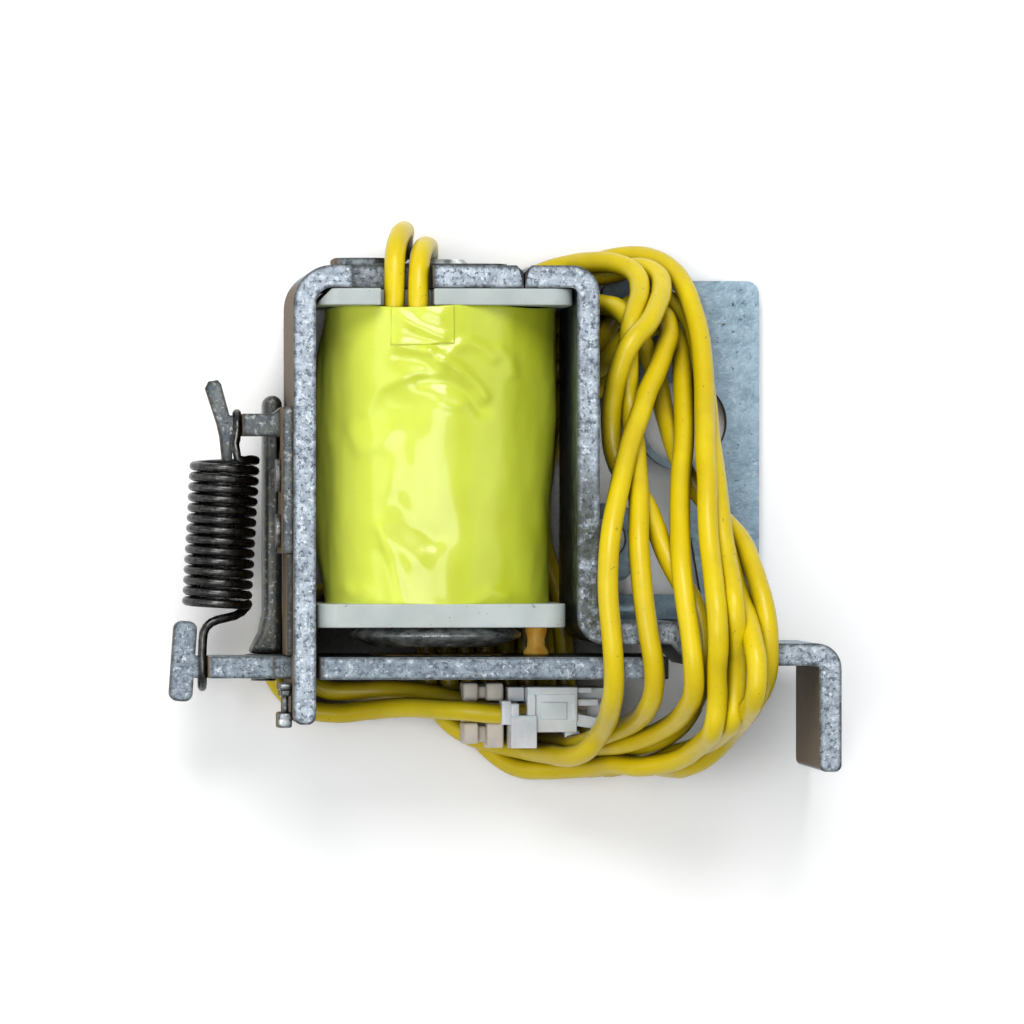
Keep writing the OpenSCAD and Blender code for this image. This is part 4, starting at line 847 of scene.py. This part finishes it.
joined_blocks("connector_lock", [
    ((-16.75, -15.55), (-19.05, -20.45), (3.3, 6.4)), ((-15.05, -13.7), (-19.05, -20.45), (3.3, 6.4)),
    ((-16.75, -15.55), (-21.95, -23.6), (3.3, 6.6)), ((-15.05, -13.7), (-21.95, -23.9), (3.3, 6.6)),
    ((-15.7, -14.9), (-22.2, -23.5), (3.3, 5.6)), ((-15.7, -14.9), (-19.3, -20.3), (3.3, 5.6)),
    ((-16.7, -13.8), (-19.2, -23.4), (3.3, 3.85))],
    retainer_nylon, "connector_retainer", 0.2)
tinned, tree, sockets = new_finish("tinned_contact", Metallic=1.0)
tin = put(tree, "TexNoise", Vector=place_in(tree), Scale=3000.0, Detail=3.0).outputs[0]
tree.links.new(steps_of_colour(tree, tin, (0.3, rgb(0.4, 0.38, 0.33)), (0.7, rgb(0.75, 0.74, 0.7))),
               sockets["Base Color"])
tree.links.new(put(tree, "MapRange", Value=tin, To_Min=0.2, To_Max=0.45).outputs[0], sockets["Roughness"])
finish_cad("connector_contacts", tinned, 0)


# ---- Table ----
# The white card that the part lies on, larger than the view. It keeps the part's soft
# shadow, is painted dark as shade where the part closes it in, and shows white to the camera.

table_mesh = bpy.data.meshes.new("table")
half = 0.6
table_mesh.from_pydata([(-half, -half, 0), (half, -half, 0), (half, half, 0), (-half, half, 0)], [],
                       [(0, 1, 2, 3)])
table = bpy.data.objects.new("table", table_mesh)
bpy.context.scene.collection.objects.link(table)
table_white, tree, sockets = new_finish("table_white", Roughness=0.9)
ray = put(tree, "LightPath").outputs
seen = reckon(tree, "MAXIMUM", ray["Is Camera Ray"],
             reckon(tree, "MAXIMUM", ray["Is Glossy Ray"], ray["Is Transmission Ray"]))
# Painted shade: the card is painted nearly black where the part closes it in, within 8 mm
closed_in = put(tree, "AmbientOcclusion", Distance=0.008, samples=8).outputs["AO"]
paper_and_shade = lay_over(tree, put(tree, "MapRange", Value=closed_in, From_Min=0.1, From_Max=0.5).outputs[0],
                 rgb(0.06, 0.06, 0.06), rgb(1.08, 1.08, 1.08))
tree.links.new(lay_over(tree, seen, rgb(0.45, 0.45, 0.45), paper_and_shade), sockets["Base Color"])
table.data.materials.append(table_white)


# ---- Light and room ----
# Soft light from above the part's top edge, with weak fill from the front and both
# sides, in a pale room whose walls are a little darker at the ends.

def soft_light(name, place, target, size, watts):
    data = bpy.data.lights.new(name, "AREA")
    data.size = size
    data.energy = watts
    lamp = bpy.data.objects.new(name, data)
    bpy.context.scene.collection.objects.link(lamp)
    lamp.location = place
    lamp.rotation_euler = (Vector(target) - Vector(place)).to_track_quat("-Z", "Y").to_euler()


part_middle = (-0.01, -0.005, 0.005)
soft_light("key_light", (-0.04, 0.28, 0.38), part_middle, size=0.22, watts=1.4)
soft_light("front_light", (-0.15, -0.06, 0.46), (-0.01, -0.008, 0.005), size=0.26, watts=0.95)
soft_light("side_light", (-0.4, 0.02, 0.2), part_middle, size=0.3, watts=0.3)
soft_light("right_light", (0.35, 0.0, 0.3), part_middle, size=0.3, watts=0.2)
room = bpy.data.worlds.new("room")
bpy.context.scene.world = room
room.use_nodes = True
tree = room.node_tree
sky = put(tree, "SeparateXYZ", Vector=put(tree, "TexCoord").outputs["Generated"]).outputs["X"]
across = put(tree, "MapRange", Value=sky, From_Min=-1.0, From_Max=1.0).outputs[0]
wall = steps_of_colour(tree, across, (0.0, rgb(0.6, 0.6, 0.6)), (0.42, rgb(0.92, 0.93, 0.95)),
                       (0.7, rgb(0.95, 0.97, 1.0)), (1.0, rgb(0.5, 0.54, 0.56)))
ray = put(tree, "LightPath").outputs
seen = reckon(tree, "MAXIMUM", ray["Is Camera Ray"], ray["Is Transmission Ray"])
backdrop = tree.nodes["Background"]
tree.links.new(lay_over(tree, seen, wall, rgb(1.0, 1.0, 1.0)), backdrop.inputs["Color"])
brightness = reckon(tree, "MAXIMUM", seen, reckon(tree, "MULTIPLY_ADD", ray["Is Glossy Ray"], 0.35, 0.35))
tree.links.new(brightness, backdrop.inputs["Strength"])
bpy.context.scene.view_settings.view_transform = "Standard"

bpy.context.view_layer.update()
